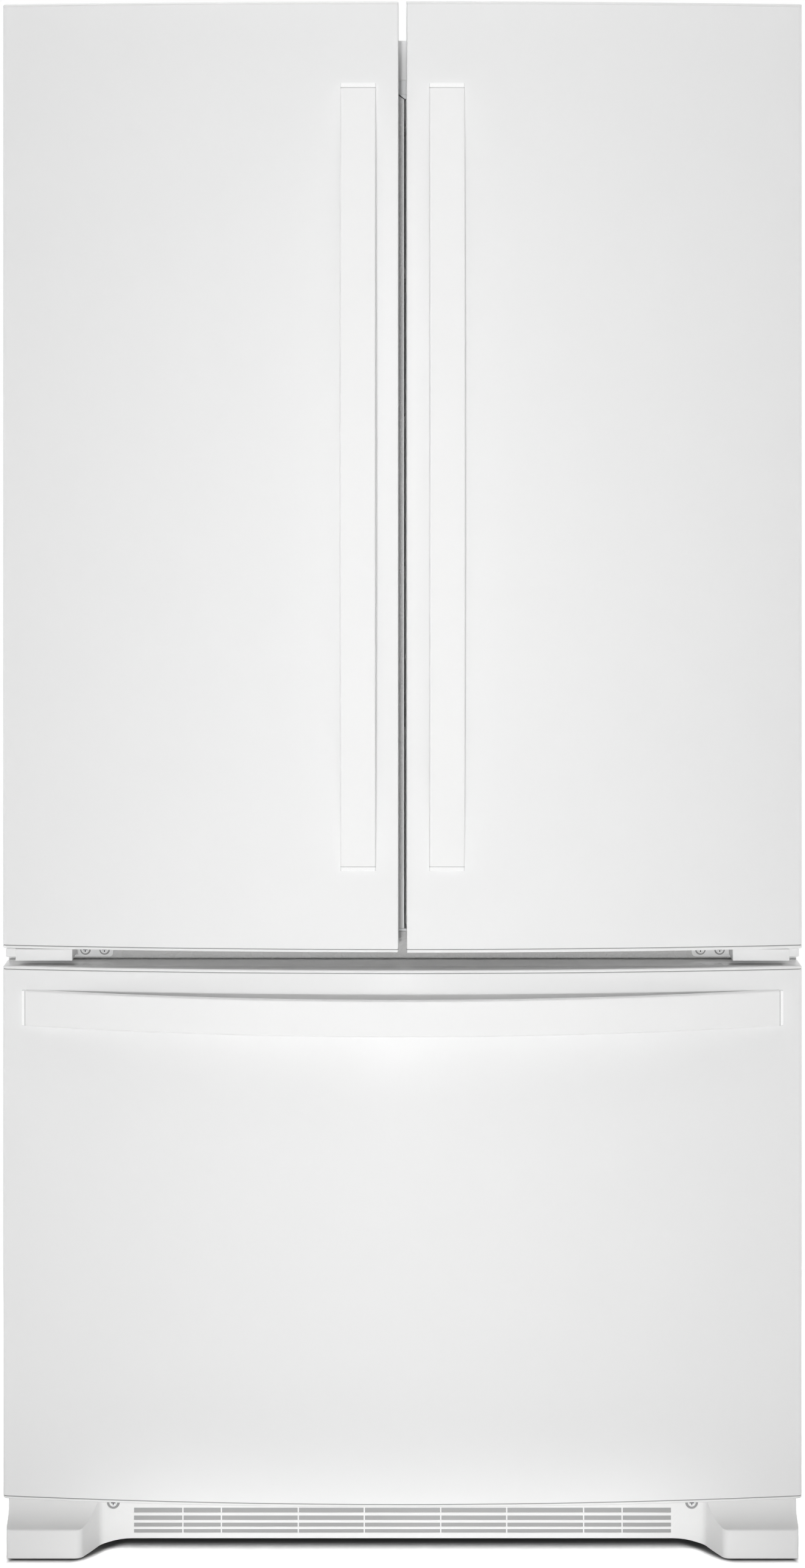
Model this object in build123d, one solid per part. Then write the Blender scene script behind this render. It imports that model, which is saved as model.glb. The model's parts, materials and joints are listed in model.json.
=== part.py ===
from build123d import *

import math
import os

# French door refrigerator, in millimetres: +X right, +Y to the back, +Z up, origin on the floor
# under the middle of its box. The doors and the drawer front face -Y.

# Overall sizes
WIDTH = 905.0
HEIGHT = 1765.0
CABINET_DEPTH = 735.0
DOOR_RISE = 35.0
DRAWER_BOTTOM = 74.0
DRAWER_HEIGHT = 603.0
FRONT_GAP = 20.0
MEETING_GAP = 9.0

# Doors and drawer front
DOOR_EDGE = 40.0
DOOR_BOW = 27.0
SKIN = 1.2
CAP = 3.0
OUTER_ROUND = 6.0
MEETING_ROUND = 2.0
LINER_PLATE = 2.0
DIKE_REACH = 30.0
DIKE_WALL = 14.0
DIKE_INSET = 10.0
DIKE_SILL = 3.0
GASKET_GAP = 12.0
GASKET_WIDTH = 11.0
GASKET_INSET = 1.5
SEAL_CLEARANCE = 0.4

# Handles
HANDLE_REACH = 44.0
HANDLE_WIDTH = 39.7
HANDLE_BAR = 13.0
HANDLE_END_PROUD = 8.0
HANDLE_END_SLOPE = 5.0
HANDLE_FRONT_ROUND = 2.0
HANDLE_BACK_ROUND = 3.0
HANDLE_SINK = 4.0
DOOR_HANDLE_LENGTH = 886.0
DOOR_HANDLE_X = 49.8
DRAWER_HANDLE_LENGTH = 863.0
DRAWER_HANDLE_DROP = 46.0

# Cabinet shell
SHEET = 1.0
LINER = 3.0
SIDE_WALL = 47.5
CEILING_WALL = 48.0
BACK_WALL = 62.0
WRAPPER_BOTTOM = 42.0
DECK_RISE = 1.0
FLOOR_WALL = 37.0
RAIL_OVERLAP = 13.0
RAIL_DEPTH = 16.0
FIT = 0.3

# Base and machine compartment
PLATE = 2.0
MACHINE_DEPTH = 235.0
MACHINE_HEIGHT = 258.0
STEP_WALL = 42.0
RUNNER_INSET = 23.5
RUNNER_WIDTH = 34.0
LEG_FROM_FRONT = 36.0
LEG_RADIUS = 6.0
NUT_RADIUS = 9.6
PAD_RADIUS = 17.0
PAD_HEIGHT = 10.0
ROLLER_RADIUS = 23.0
ROLLER_WIDTH = 25.0
ROLLER_INSET = 32.5
ROLLER_FROM_BACK = 64.0
AXLE_RADIUS = 4.0
RUNNING_FIT = 0.05
END_ROOM = 1.0
VENT_FROM_MIDDLE = 54.0
VENT_FROM_SIDE = 127.0
GLAND_INSET = 63.0
GLAND_RISE = 52.0

# Toe grille
GRILLE_SETBACK = 0.3
GRILLE_THICKNESS = 3.0
GRILLE_BOTTOM = 11.0
GRILLE_GAP = 6.0
GRILLE_SWEEP = 56.0
FOOT_INSET = 2.0
FOOT_WIDTH = 86.5
FOOT_TAPER = 20.0
FOOT_REACH = 40.0
FOOT_BOTTOM = 2.0
FOOT_SHOULDER = 34.0
FOOT_HOLLOW = 5.0
FOOT_ROUND = 10.0
FOOT_OUTER_ROUND = 6.0
FOOT_FLARE = 10.0
SHOULDER_ROUND = 2.5
COLUMN_SHARES = (89.0, 76.5, 89.5, 44.0, 57.0)
SLOTS_FROM_FOOT = 37.8
COLUMN_RIB = 1.5
SLOT_ROWS = 4
SLOT_DROP = 22.0
SLOT_HEIGHT = 5.6
SLOT_SHRINK = 0.5
BAR_HEIGHT = 3.4
BAR_SHRINK = 0.3
SCREW_FROM_FOOT = 14.0
SCREW_DROP = 16.0
SCREW_HEAD = 4.5
SCREW_HEAD_HEIGHT = 2.5
SCREW_SHANK = 2.5
SCREW_RECESS = 7.5
SCREW_RECESS_DEPTH = 1.2

# Hinges
PIVOT_INSET = 20.0
PIVOT_FROM_BACK = 16.0
PIN_RADIUS = 5.0
PIN_REACH = 20.0
BOSS_WALL = 4.0
ARM_WIDTH = 22.0
ARM_LENGTH = 62.0
ARM_ANGLE = 45.0
HINGE_PLATE = 4.0
HINGE_SWING_ROOM = 3.0
POCKET_WALL = 2.5
POCKET_FLOOR = 4.0
POCKET_WIDTH = 62.5
TOP_PLATE_WIDTH = 88.0
TOP_PLATE_DEPTH = 62.0
COVER_WALL = 2.5
COVER_HEIGHT = 24.0
CENTRE_BOX_INSET = 14.0
CENTRE_BOX_WIDTH = 64.0
CENTRE_BOX_SETBACK = 5.0
CENTRE_BOX_HEIGHT = 13.0
CENTRE_LIP = 4.0
DOOR_LIFT = 2.0
FLANGE_INSET = 4.5
FLANGE_WIDTH = 116.0
FLANGE_PLATE = 3.0
FLANGE_ABOVE_DRAWER = 1.5
FLANGE_CORNER = 5.0
HINGE_SCREW_IN = 10.0
HINGE_SCREW_PITCH = 22.0

# Flip mullion
MULLION_LEFT = 38.0
MULLION_RIGHT = 2.0
MULLION_THICKNESS = 16.0
MULLION_ROUND = 6.0
MULLION_PIVOT_IN = 5.0
MULLION_PIN = 2.5
MULLION_PIN_REACH = 14.0
MULLION_TAB = 4.0
MULLION_TAB_GAP = 0.5
MULLION_GUIDE_WIDTH = 44.0
MULLION_GUIDE_DEPTH = 34.0
MULLION_GUIDE_HEIGHT = 14.0

# Fresh food compartment
SHELVES = 3
SHELF_FRONT_SETBACK = 156.0
SHELF_THICKNESS = 16.0
SHELF_RIM = 14.0
SHELF_REBATE = 7.0
PANE = 5.0
RIB_REACH = 12.0
RIB_HEIGHT = 9.0
CRISPER_SETBACK = 186.0
CRISPER_HEIGHT = 172.0
CRISPER_WALL = 2.5
CRISPER_RUNNER = 18.0
CRISPER_RUNNER_WIDTH = 10.0
CRISPER_RUNNER_INSET = 5.0
CRISPER_SIDE_GAP = 15.0
CRISPER_MIDDLE_GAP = 6.0
CRISPER_GRIP = 14.0
CRISPER_TOP_ROOM = 5.0
DUCT_WIDTH = 160.0
DUCT_DEPTH = 30.0
DUCT_WALL = 2.5
DUCT_VENTS = 6
VENT_HEIGHT = 8.0
HOUSING_WIDTH = 320.0
HOUSING_DEPTH = 180.0
HOUSING_HEIGHT = 40.0
HOUSING_SETBACK = 70.0
LENS_MARGIN = 60.0
LENS_HEIGHT = 6.0

# Door bins
BINS = 3
BIN_RAISE = 33.0
BIN_DEPTH = 112.0
BIN_HEIGHT = 95.0
BIN_WALL = 2.5
BIN_LUG = 10.0
BIN_LUG_DEPTH = 40.0

# Freezer compartment
SLIDE_SETBACK = 16.0
SLIDE_END_GAP = 2.0
SLIDE_RISE = 188.0
SLIDE_HEIGHT = 45.0
SLIDE_STEP = 4.0
FIXED_SLIDE = 8.0
SLIDE_PLATE = 4.2
SLIDE_GAP = 0.3
BRACKET_HEIGHT = 150.0
BRACKET_PLATE = 6.0
BASKET_SETBACK = 31.0
BASKET_END_GAP = 42.0
BASKET_RISE = 28.0
BASKET_WALL = 3.0
BASKET_RIM = 4.0
BASKET_SIDE_GAP = 10.0
UPPER_RISE = 318.0
UPPER_HEIGHT = 110.0
UPPER_SIDE_GAP = 7.0
LEDGE_REACH = 17.0
LEDGE_HEIGHT = 15.0
EVAPORATOR_BAY = 130.0

# Cooling circuit
FAN_RADIUS = 50.0
FAN_CLEARANCE = 4.0
FAN_HUB = 16.0
FAN_BLADES = 5
FAN_DEPTH = 16.0
BLADE_TILT = 40.0
FAN_PLATE_MARGIN = 12.0
FAN_POST = 4.0
MOTOR_RADIUS = 26.0
MOTOR_LENGTH = 36.0
SHAFT_RADIUS = 3.0
SHAFT_GRIP = 18.0
FIN = 1.5
TUBE_RADIUS = 5.0
TUBE_INSET_Y = 15.0
TUBE_INSET_Z = 25.0
EVAPORATOR_WIDTH = 540.0
EVAPORATOR_DEPTH = 66.0
EVAPORATOR_HEIGHT = 160.0
EVAPORATOR_FINS = 18
CONDENSER_WIDTH = 210.0
CONDENSER_DEPTH = 150.0
CONDENSER_HEIGHT = 130.0
CONDENSER_FINS = 14
CONDENSER_INSET = 217.5
PAN_HEIGHT = 22.0
PAN_WALL = 2.0
COMPRESSOR_RADIUS = 82.0
COMPRESSOR_HEIGHT = 165.0
COMPRESSOR_INSET = 212.5
COMPRESSOR_ROUND = 37.0
COMPRESSOR_BASE_DEPTH = 115.0
COMPRESSOR_FOOT = 8.0
GLAND_RADIUS = 6.0
GLAND_WALL = 4.0
GLAND_REACH = 6.0
COVER_VENTS = 7

# Planes and levels that follow from the sizes above
HALF = WIDTH / 2
DEPTH = CABINET_DEPTH + GASKET_GAP + DOOR_EDGE + DOOR_BOW + HANDLE_REACH
Y_BACK = DEPTH / 2
Y_CABINET = Y_BACK - CABINET_DEPTH
Y_DOOR_BACK = Y_CABINET - GASKET_GAP
Y_DOOR_EDGE = Y_DOOR_BACK - DOOR_EDGE
Y_DOOR_FRONT = Y_DOOR_EDGE - DOOR_BOW
BOW_RADIUS = (HALF**2 + DOOR_BOW**2) / (2 * DOOR_BOW)
BOW_CENTRE_Y = Y_DOOR_FRONT + BOW_RADIUS
CABINET_TOP = HEIGHT - DOOR_RISE
DECK_TOP = DRAWER_BOTTOM + DECK_RISE
FREEZER_FLOOR = DECK_TOP + FLOOR_WALL
DRAWER_TOP = DRAWER_BOTTOM + DRAWER_HEIGHT
DOOR_BOTTOM = DRAWER_TOP + FRONT_GAP
LINER_X = HALF - SIDE_WALL
RUNNER_X = HALF - RUNNER_INSET
ROLLER_X = HALF - ROLLER_INSET
CONDENSER_X = HALF - CONDENSER_INSET
COMPRESSOR_X = -HALF + COMPRESSOR_INSET
FRESH_FLOOR = DOOR_BOTTOM + RAIL_OVERLAP
FRESH_TOP = CABINET_TOP - CEILING_WALL
FREEZER_TOP = DRAWER_TOP - RAIL_OVERLAP
LINER_BACK = Y_BACK - BACK_WALL - LINER
MACHINE_Y = Y_BACK - MACHINE_DEPTH
MACHINE_TOP = WRAPPER_BOTTOM + MACHINE_HEIGHT
STEP_Y = MACHINE_Y - STEP_WALL
STEP_Z = MACHINE_TOP + STEP_WALL
SLIDE_LEVEL = FREEZER_FLOOR + SLIDE_RISE
UPPER_LEVEL = FREEZER_FLOOR + UPPER_RISE
PIVOT_X = -HALF + PIVOT_INSET
PIVOT_Y = Y_DOOR_BACK - PIVOT_FROM_BACK
LEFT_DOOR_X = (-HALF, -MEETING_GAP / 2)
DOOR_Z = (DOOR_BOTTOM, HEIGHT)
DRAWER_X = (-HALF, HALF)
DRAWER_Z = (DRAWER_BOTTOM, DRAWER_TOP)
Y_DIKE = Y_CABINET + DIKE_REACH
BEYOND = 1.0


def block(x, y, z):
    """A box between three pairs of low and high values."""
    return Pos(sum(x) / 2, sum(y) / 2, sum(z) / 2) * Box(x[1] - x[0], y[1] - y[0], z[1] - z[0])


def inset_span(span, by):
    return (span[0] + by, span[1] - by)


def rod(radius, start, end):
    """A round bar from one point to another."""
    axis = Vector(*end) - Vector(*start)
    plane = Plane(origin=start, z_dir=axis)
    return extrude(plane * Circle(radius), axis.length)


def ring(x, y, z, wall):
    """A rectangular frame that lies in a vertical plane across the front."""
    return block(x, y, z) - block(inset_span(x, wall), inset_span(y, -BEYOND), inset_span(z, wall))


def tray(x, y, z, wall):
    """A box that is open at the top."""
    return block(x, y, z) - block(inset_span(x, wall), inset_span(y, wall), (z[0] + wall, z[1] + BEYOND))


def other_side(shape):
    return mirror(shape, about=Plane.YZ)


def save(name, *shapes):
    solids = [solid for shape in shapes for solid in shape.solids()]
    whole = solids[0] if len(solids) == 1 else Compound(solids)
    export_step(whole, f"parts/{name}.step")


# Bowed fronts: one arc runs across both doors, and the drawer has the same arc
def bow_y(x, inset=0.0):
    return BOW_CENTRE_Y - math.sqrt((BOW_RADIUS - inset) ** 2 - x**2)


def front_prism(x, z, rounds, inset=0.0, back=Y_DOOR_BACK):
    """A door-shaped block with a bowed front, rounded at its two front edges."""
    left, right = inset_span(x, inset)
    middle = (left + right) / 2
    start = (left, bow_y(left, inset))
    end = (right, bow_y(right, inset))
    front = ThreePointArc(start, (middle, bow_y(middle, inset)), end)
    rest = Polyline(end, (right, back), (left, back), start)
    face = make_face([front, rest])
    for corner, radius in zip((start, end), rounds):
        vertex = face.vertices().sort_by_distance((*corner, 0))[0]
        face = fillet(vertex, max(radius - inset, SKIN / 2))
    return extrude(Pos(0, 0, z[0]) * face, z[1] - z[0])


def bow_bar(plane, length, width, middle, end, seat):
    """A flat bar along an arc, whose ends run down to its seat."""
    tip = length / 2 - HANDLE_END_SLOPE
    rise = middle - end
    radius = (tip**2 + rise**2) / (2 * rise)
    centre = middle - radius
    inner = math.sqrt((radius - HANDLE_BAR) ** 2 - (seat - centre) ** 2)
    outer_arc = ThreePointArc((-tip, end), (0, middle), (tip, end))
    inner_arc = ThreePointArc((inner, seat), (0, middle - HANDLE_BAR), (-inner, seat))
    right_end = Polyline((tip, end), (length / 2, seat), (inner, seat))
    left_end = Polyline((-inner, seat), (-length / 2, seat), (-tip, end))
    bar = extrude(plane * make_face([outer_arc, right_end, inner_arc, left_end]), width)
    arcs = bar.edges().filter_by(GeomType.CIRCLE).sort_by(lambda edge: edge.radius)
    bar = fillet(arcs[2:], HANDLE_FRONT_ROUND)
    arcs = bar.edges().filter_by(GeomType.CIRCLE)
    inner_edges = [edge for edge in arcs if abs(edge.radius - radius + HANDLE_BAR) < SEAL_CLEARANCE]
    return fillet(inner_edges, HANDLE_BACK_ROUND)


# Cabinet wrapper, rear panel and centre rail
def cabinet_wrapper():
    outside = block((-HALF, HALF), (Y_CABINET, Y_BACK), (WRAPPER_BOTTOM, CABINET_TOP))
    inside_x = inset_span((-HALF, HALF), SHEET)
    hollow = block(inside_x, (Y_CABINET + SHEET, Y_BACK + BEYOND), (0, CABINET_TOP - SHEET))
    opening_x = (-LINER_X - LINER, LINER_X + LINER)
    opening_z = (FREEZER_FLOOR - LINER, FRESH_TOP + LINER)
    opening = block(opening_x, (Y_CABINET - BEYOND, Y_BACK), opening_z)
    toe = block(inside_x, (Y_CABINET - BEYOND, Y_BACK), (0, DECK_TOP))
    return outside - hollow - opening - toe


def rear_panel():
    x = inset_span((-HALF, HALF), SHEET)
    return block(x, (Y_BACK - SHEET, Y_BACK), (MACHINE_TOP, CABINET_TOP - SHEET))


def centre_rail():
    x = (-LINER_X - LINER, LINER_X + LINER)
    z = (FREEZER_TOP + LINER, FRESH_FLOOR - LINER)
    return block(x, (Y_CABINET, Y_CABINET + RAIL_DEPTH), z)


# Liners: tubs that open to the front, with the ribs and runners moulded on their walls
def fresh_food_space(grow=0.0):
    x = inset_span((-LINER_X, LINER_X), -grow)
    return block(x, (Y_CABINET, LINER_BACK + grow), inset_span((FRESH_FLOOR, FRESH_TOP), -grow))


def freezer_space(grow=0.0):
    x = inset_span((-LINER_X, LINER_X), -grow)
    low = block(x, (Y_CABINET, STEP_Y + grow), (FREEZER_FLOOR - grow, FREEZER_TOP + grow))
    high = block(x, (Y_CABINET, LINER_BACK + grow), (STEP_Z - grow, FREEZER_TOP + grow))
    return low + high


def shelf_y():
    return (Y_CABINET + SHELF_FRONT_SETBACK, LINER_BACK - DUCT_DEPTH - RIB_REACH)


def crisper_y():
    return (Y_CABINET + CRISPER_SETBACK, LINER_BACK - DUCT_DEPTH)


def crisper_floor():
    return FRESH_FLOOR + CRISPER_RUNNER


def crisper_cover_level():
    return crisper_floor() + CRISPER_HEIGHT + CRISPER_TOP_ROOM


def shelf_levels():
    """Even spaces between the crisper cover, the shelves and the control housing."""
    low = crisper_cover_level() + SHELF_THICKNESS
    pitch = (FRESH_TOP - HOUSING_HEIGHT - low) / (SHELVES + 1)
    return [low + pitch * (number + 1) for number in range(SHELVES)]


def crisper_x():
    return (-LINER_X + CRISPER_SIDE_GAP, -CRISPER_MIDDLE_GAP)


def fresh_food_liner():
    tub = fresh_food_space(LINER) - fresh_food_space()
    for level in (crisper_cover_level(), *shelf_levels()):
        rib_x = (-LINER_X - BEYOND, -LINER_X + RIB_REACH)
        rib = block(rib_x, shelf_y(), (level - RIB_HEIGHT, level - FIT))
        tub += rib
        tub += other_side(rib)
    outer, inner = inset_span(crisper_x(), CRISPER_RUNNER_INSET)
    for runner_x in ((outer, outer + CRISPER_RUNNER_WIDTH), (inner - CRISPER_RUNNER_WIDTH, inner)):
        runner = block(runner_x, crisper_y(), (FRESH_FLOOR - BEYOND, crisper_floor() - FIT))
        tub += runner
        tub += other_side(runner)
    guide_x = (-MULLION_GUIDE_WIDTH / 2, MULLION_GUIDE_WIDTH / 2)
    guide_y = (Y_CABINET, Y_CABINET + MULLION_GUIDE_DEPTH)
    return tub + block(guide_x, guide_y, (FRESH_TOP - MULLION_GUIDE_HEIGHT, FRESH_TOP + BEYOND))


def freezer_liner():
    tub = freezer_space(LINER) - freezer_space()
    ledge_x = (-LINER_X - BEYOND, -LINER_X + LEDGE_REACH)
    ledge_y = (Y_CABINET + SLIDE_SETBACK, STEP_Y)
    ledge = block(ledge_x, ledge_y, (UPPER_LEVEL - LEDGE_HEIGHT, UPPER_LEVEL - FIT))
    return tub + ledge + other_side(ledge)


def cabinet_foam():
    x = inset_span((-HALF, HALF), SHEET)
    fill = block(x, (Y_CABINET + SHEET, Y_BACK - SHEET), (DECK_TOP, CABINET_TOP - SHEET))
    machine = block(x, (MACHINE_Y - PLATE, Y_BACK), (0, MACHINE_TOP))
    return fill - fresh_food_space(LINER) - freezer_space(LINER) - centre_rail() - machine


# Base frame: deck, machine compartment box, runners with leg nuts, roller brackets
def roller_y():
    return Y_BACK - ROLLER_FROM_BACK


def base_frame():
    x = inset_span((-HALF, HALF), SHEET)
    front = Y_CABINET + SHEET
    frame = block(x, (front, MACHINE_Y), (DECK_TOP - PLATE, DECK_TOP))
    frame += block(x, (MACHINE_Y - PLATE, MACHINE_Y), (WRAPPER_BOTTOM, MACHINE_TOP))
    frame += block(x, (MACHINE_Y - PLATE, Y_BACK - PLATE), (MACHINE_TOP - PLATE, MACHINE_TOP))
    frame += block(x, (MACHINE_Y - PLATE, Y_BACK - PLATE), (WRAPPER_BOTTOM, WRAPPER_BOTTOM + PLATE))
    frame += block(x, (front, front + PLATE), (WRAPPER_BOTTOM, DECK_TOP))
    leg_y = Y_CABINET + LEG_FROM_FRONT
    outer = ROLLER_WIDTH / 2 + FIT
    for side in (-1, 1):
        runner_x = (side * RUNNER_X - RUNNER_WIDTH / 2, side * RUNNER_X + RUNNER_WIDTH / 2)
        frame += block(runner_x, (front, MACHINE_Y), (WRAPPER_BOTTOM, DECK_TOP))
        bore_start = (side * RUNNER_X, leg_y, WRAPPER_BOTTOM - BEYOND)
        frame -= rod(LEG_RADIUS + RUNNING_FIT, bore_start, (side * RUNNER_X, leg_y, DECK_TOP - PLATE))
        wheel_y = (roller_y() - ROLLER_RADIUS - LINER, roller_y() + ROLLER_RADIUS + LINER)
        well_x = (side * ROLLER_X - outer, side * ROLLER_X + outer)
        frame -= block(well_x, wheel_y, (0, WRAPPER_BOTTOM + PLATE + BEYOND))
        for ear in (-1, 1):
            ear_x = sorted((side * ROLLER_X + ear * outer, side * ROLLER_X + ear * (outer + PLATE)))
            ear_z = (ROLLER_RADIUS - 2 * AXLE_RADIUS, WRAPPER_BOTTOM + PLATE)
            frame += block(ear_x, wheel_y, ear_z)
        axle_start = (side * ROLLER_X - outer - PLATE, roller_y(), ROLLER_RADIUS)
        axle_end = (side * ROLLER_X + outer + PLATE, roller_y(), ROLLER_RADIUS)
        frame += rod(AXLE_RADIUS, axle_start, axle_end)
    for side in (-1, 1):
        hole_y = (front - BEYOND, front + PLATE + BEYOND)
        hole_start = (side * SCREW_X, hole_y[0], SCREW_Z)
        frame -= rod(SCREW_SHANK + RUNNING_FIT, hole_start, (side * SCREW_X, hole_y[1], SCREW_Z))
    return frame


def levelling_leg(side):
    x = side * RUNNER_X
    y = Y_CABINET + LEG_FROM_FRONT
    pad = rod(PAD_RADIUS, (x, y, 0), (x, y, PAD_HEIGHT))
    nut = extrude(Pos(x, y, PAD_HEIGHT) * RegularPolygon(NUT_RADIUS, 6), PAD_HEIGHT)
    stud = rod(LEG_RADIUS, (x, y, PAD_HEIGHT), (x, y, DECK_TOP - PLATE - END_ROOM))
    return pad + nut + stud


def rear_roller(side):
    x = side * ROLLER_X
    start = (x - ROLLER_WIDTH / 2, roller_y(), ROLLER_RADIUS)
    end = (x + ROLLER_WIDTH / 2, roller_y(), ROLLER_RADIUS)
    return rod(ROLLER_RADIUS, start, end) - rod(AXLE_RADIUS + RUNNING_FIT, start, end)


def machine_cover():
    x = inset_span((-HALF, HALF), SHEET + FIT)
    z = (WRAPPER_BOTTOM, MACHINE_TOP)
    cover = block(x, (Y_BACK - PLATE, Y_BACK - SHEET), z)
    pitch = (z[1] - z[0]) / (COVER_VENTS + 1)
    for row in range(COVER_VENTS):
        level = z[0] + pitch * (row + 1)
        vent_z = (level - VENT_HEIGHT / 2, level + VENT_HEIGHT / 2)
        vent = block((VENT_FROM_MIDDLE, HALF - VENT_FROM_SIDE), (Y_BACK - PLATE - BEYOND, Y_BACK), vent_z)
        cover -= vent
        cover -= other_side(vent)
    gland = (-HALF + GLAND_INSET, Y_BACK - PLATE - GLAND_REACH, WRAPPER_BOTTOM + GLAND_RISE)
    mouth = (gland[0], Y_BACK - SHEET, gland[2])
    cover += rod(GLAND_RADIUS + GLAND_WALL, gland, mouth)
    return cover - rod(GLAND_RADIUS, gland, mouth)


# Toe grille with its two foot covers
GRILLE_TOP = DRAWER_BOTTOM - GRILLE_GAP
GRILLE_BACK = Y_CABINET - GRILLE_SETBACK
GRILLE_FRONT = GRILLE_BACK - GRILLE_THICKNESS
FOOT_INNER = HALF - FOOT_WIDTH
FOOT_ROOT = FOOT_INNER - FOOT_TAPER
GRILLE_FLAT = FOOT_INNER - GRILLE_SWEEP
SCREW_X = FOOT_ROOT - SCREW_FROM_FOOT
SCREW_Z = GRILLE_TOP - SCREW_DROP


def column_widths():
    """Slot columns from the middle outward, which fill the grille between its feet."""
    ribs = (len(COLUMN_SHARES) - 1) * COLUMN_RIB
    span = FOOT_ROOT - SLOTS_FROM_FOOT - ribs
    unit = span / (sum(COLUMN_SHARES) - COLUMN_SHARES[0] / 2)
    return [share * unit for share in COLUMN_SHARES]


def foot_plan(inset, front, back):
    """One foot cover from above: its outside flares into the grille, the hollow in it doesn't."""
    start = FOOT_ROOT + inset
    inner = FOOT_INNER + inset
    outer = HALF - FOOT_INSET - inset
    points = [(start, GRILLE_FRONT), (inner, front), (outer, front), (outer, back)]
    rounds = [((inner, front), FOOT_ROUND - inset), ((outer, front), FOOT_OUTER_ROUND - inset)]
    if inset:
        points.append((start, back))
    else:
        flare = start - 2 * FOOT_FLARE
        points += [(flare, back), (flare, GRILLE_FRONT)]
        rounds.append(((start, GRILLE_FRONT), FOOT_FLARE))
    ground = make_face(Polyline(*points, close=True))
    for corner, radius in rounds:
        vertex = ground.vertices().sort_by_distance((*corner, 0))[0]
        ground = fillet(vertex, radius)
    return ground


def foot_block(inset):
    """One foot cover's outside, or with an inset the hollow in it, on the +X side."""
    front = GRILLE_BACK - FOOT_REACH + inset
    low = FOOT_BOTTOM - (BEYOND if inset else 0)
    back = GRILLE_BACK + (BEYOND if inset else 0)
    high = GRILLE_TOP - inset
    shoulder = FOOT_SHOULDER - inset
    bend = ((front + GRILLE_FRONT) / 2 + FOOT_HOLLOW, (shoulder + high) / 2 - FOOT_HOLLOW)
    slope = ThreePointArc((front, shoulder), bend, (GRILLE_FRONT, high))
    rest = Polyline((GRILLE_FRONT, high), (back, high), (back, low), (front, low), (front, shoulder))
    profile = make_face([slope, rest])
    if not inset:
        crest = [corner for corner in profile.vertices() if corner.X < front + FIT and corner.Y > low + FIT]
        profile = fillet(crest, SHOULDER_ROUND)
    ground = foot_plan(inset, front, back)
    start = FOOT_ROOT + inset - (0 if inset else 2 * FOOT_FLARE)
    body = extrude(Plane.YZ.offset(start) * profile, HALF - start)
    return body & extrude(Plane.XY.offset(low) * ground, high - low)


def under_grille():
    """The room under the grille, whose top sweeps down to the feet, on the +X side."""
    middle_x = (GRILLE_FLAT + FOOT_INNER) / 2
    middle_z = (GRILLE_BOTTOM + FOOT_BOTTOM) / 2
    rise = TangentArc((GRILLE_FLAT, GRILLE_BOTTOM), (middle_x, middle_z), tangent=(1, 0))
    fall = TangentArc((FOOT_INNER, FOOT_BOTTOM), (middle_x, middle_z), tangent=(-1, 0))
    outline = Polyline(
        (FOOT_INNER, FOOT_BOTTOM),
        (FOOT_INNER, -BEYOND),
        (-BEYOND, -BEYOND),
        (-BEYOND, GRILLE_BOTTOM),
        (GRILLE_FLAT, GRILLE_BOTTOM),
    )
    front_plane = Plane(origin=(0, GRILLE_BACK + BEYOND, 0), x_dir=(1, 0, 0), z_dir=(0, -1, 0))
    return extrude(front_plane * make_face([rise, fall, outline]), FOOT_REACH + 2 * BEYOND)


def toe_grille():
    half = block((0, FOOT_ROOT + GRILLE_THICKNESS), (GRILLE_FRONT, GRILLE_BACK), (FOOT_BOTTOM, GRILLE_TOP))
    half += foot_block(0) - foot_block(GRILLE_THICKNESS)
    half -= under_grille()
    grille = half + other_side(half)
    through = (GRILLE_FRONT - BEYOND, GRILLE_BACK + BEYOND)
    widths = column_widths()
    top = GRILLE_TOP - SLOT_DROP
    for row in range(SLOT_ROWS):
        height = SLOT_HEIGHT - row * SLOT_SHRINK
        left = -widths[0] / 2
        for column, width in enumerate(widths):
            slot = block((left, left + width), through, (top - height, top))
            grille -= slot
            if column:
                grille -= other_side(slot)
            left += width + COLUMN_RIB
        top -= height + BAR_HEIGHT - row * BAR_SHRINK
    for side in (-1, 1):
        face = (side * SCREW_X, GRILLE_FRONT - BEYOND, SCREW_Z)
        grille -= rod(SCREW_RECESS, face, (side * SCREW_X, GRILLE_FRONT + SCREW_RECESS_DEPTH, SCREW_Z))
        grille -= rod(SCREW_SHANK + RUNNING_FIT, face, (side * SCREW_X, through[1], SCREW_Z))
    return grille


def screw(x, seat_y, z, reach):
    """A screw along Y whose head sits on a face that looks to the front."""
    head = rod(SCREW_HEAD, (x, seat_y - SCREW_HEAD_HEIGHT, z), (x, seat_y, z))
    return head + rod(SCREW_SHANK, (x, seat_y, z), (x, seat_y + reach, z))


def cabinet_screws():
    grille_reach = Y_CABINET + SHEET + PLATE - (GRILLE_FRONT + SCREW_RECESS_DEPTH)
    screws = []
    for side in (-1, 1):
        screws.append(screw(side * SCREW_X, GRILLE_FRONT + SCREW_RECESS_DEPTH, SCREW_Z, grille_reach))
        for x in hinge_screw_xs():
            screws.append(screw(side * x, Y_CABINET - FLANGE_PLATE, hinge_screw_z(), FLANGE_PLATE))
    return screws


# Hinges: fixed plates with pins that the doors turn on
def hinge_top():
    return DOOR_BOTTOM - DOOR_LIFT


def flange_x():
    return (-HALF + FLANGE_INSET, -HALF + FLANGE_INSET + FLANGE_WIDTH)


def hinge_screw_xs():
    first = -flange_x()[1] + HINGE_SCREW_IN
    return (first, first + HINGE_SCREW_PITCH)


def hinge_screw_z():
    return (hinge_top() + DRAWER_TOP + FLANGE_ABOVE_DRAWER) / 2


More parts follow.
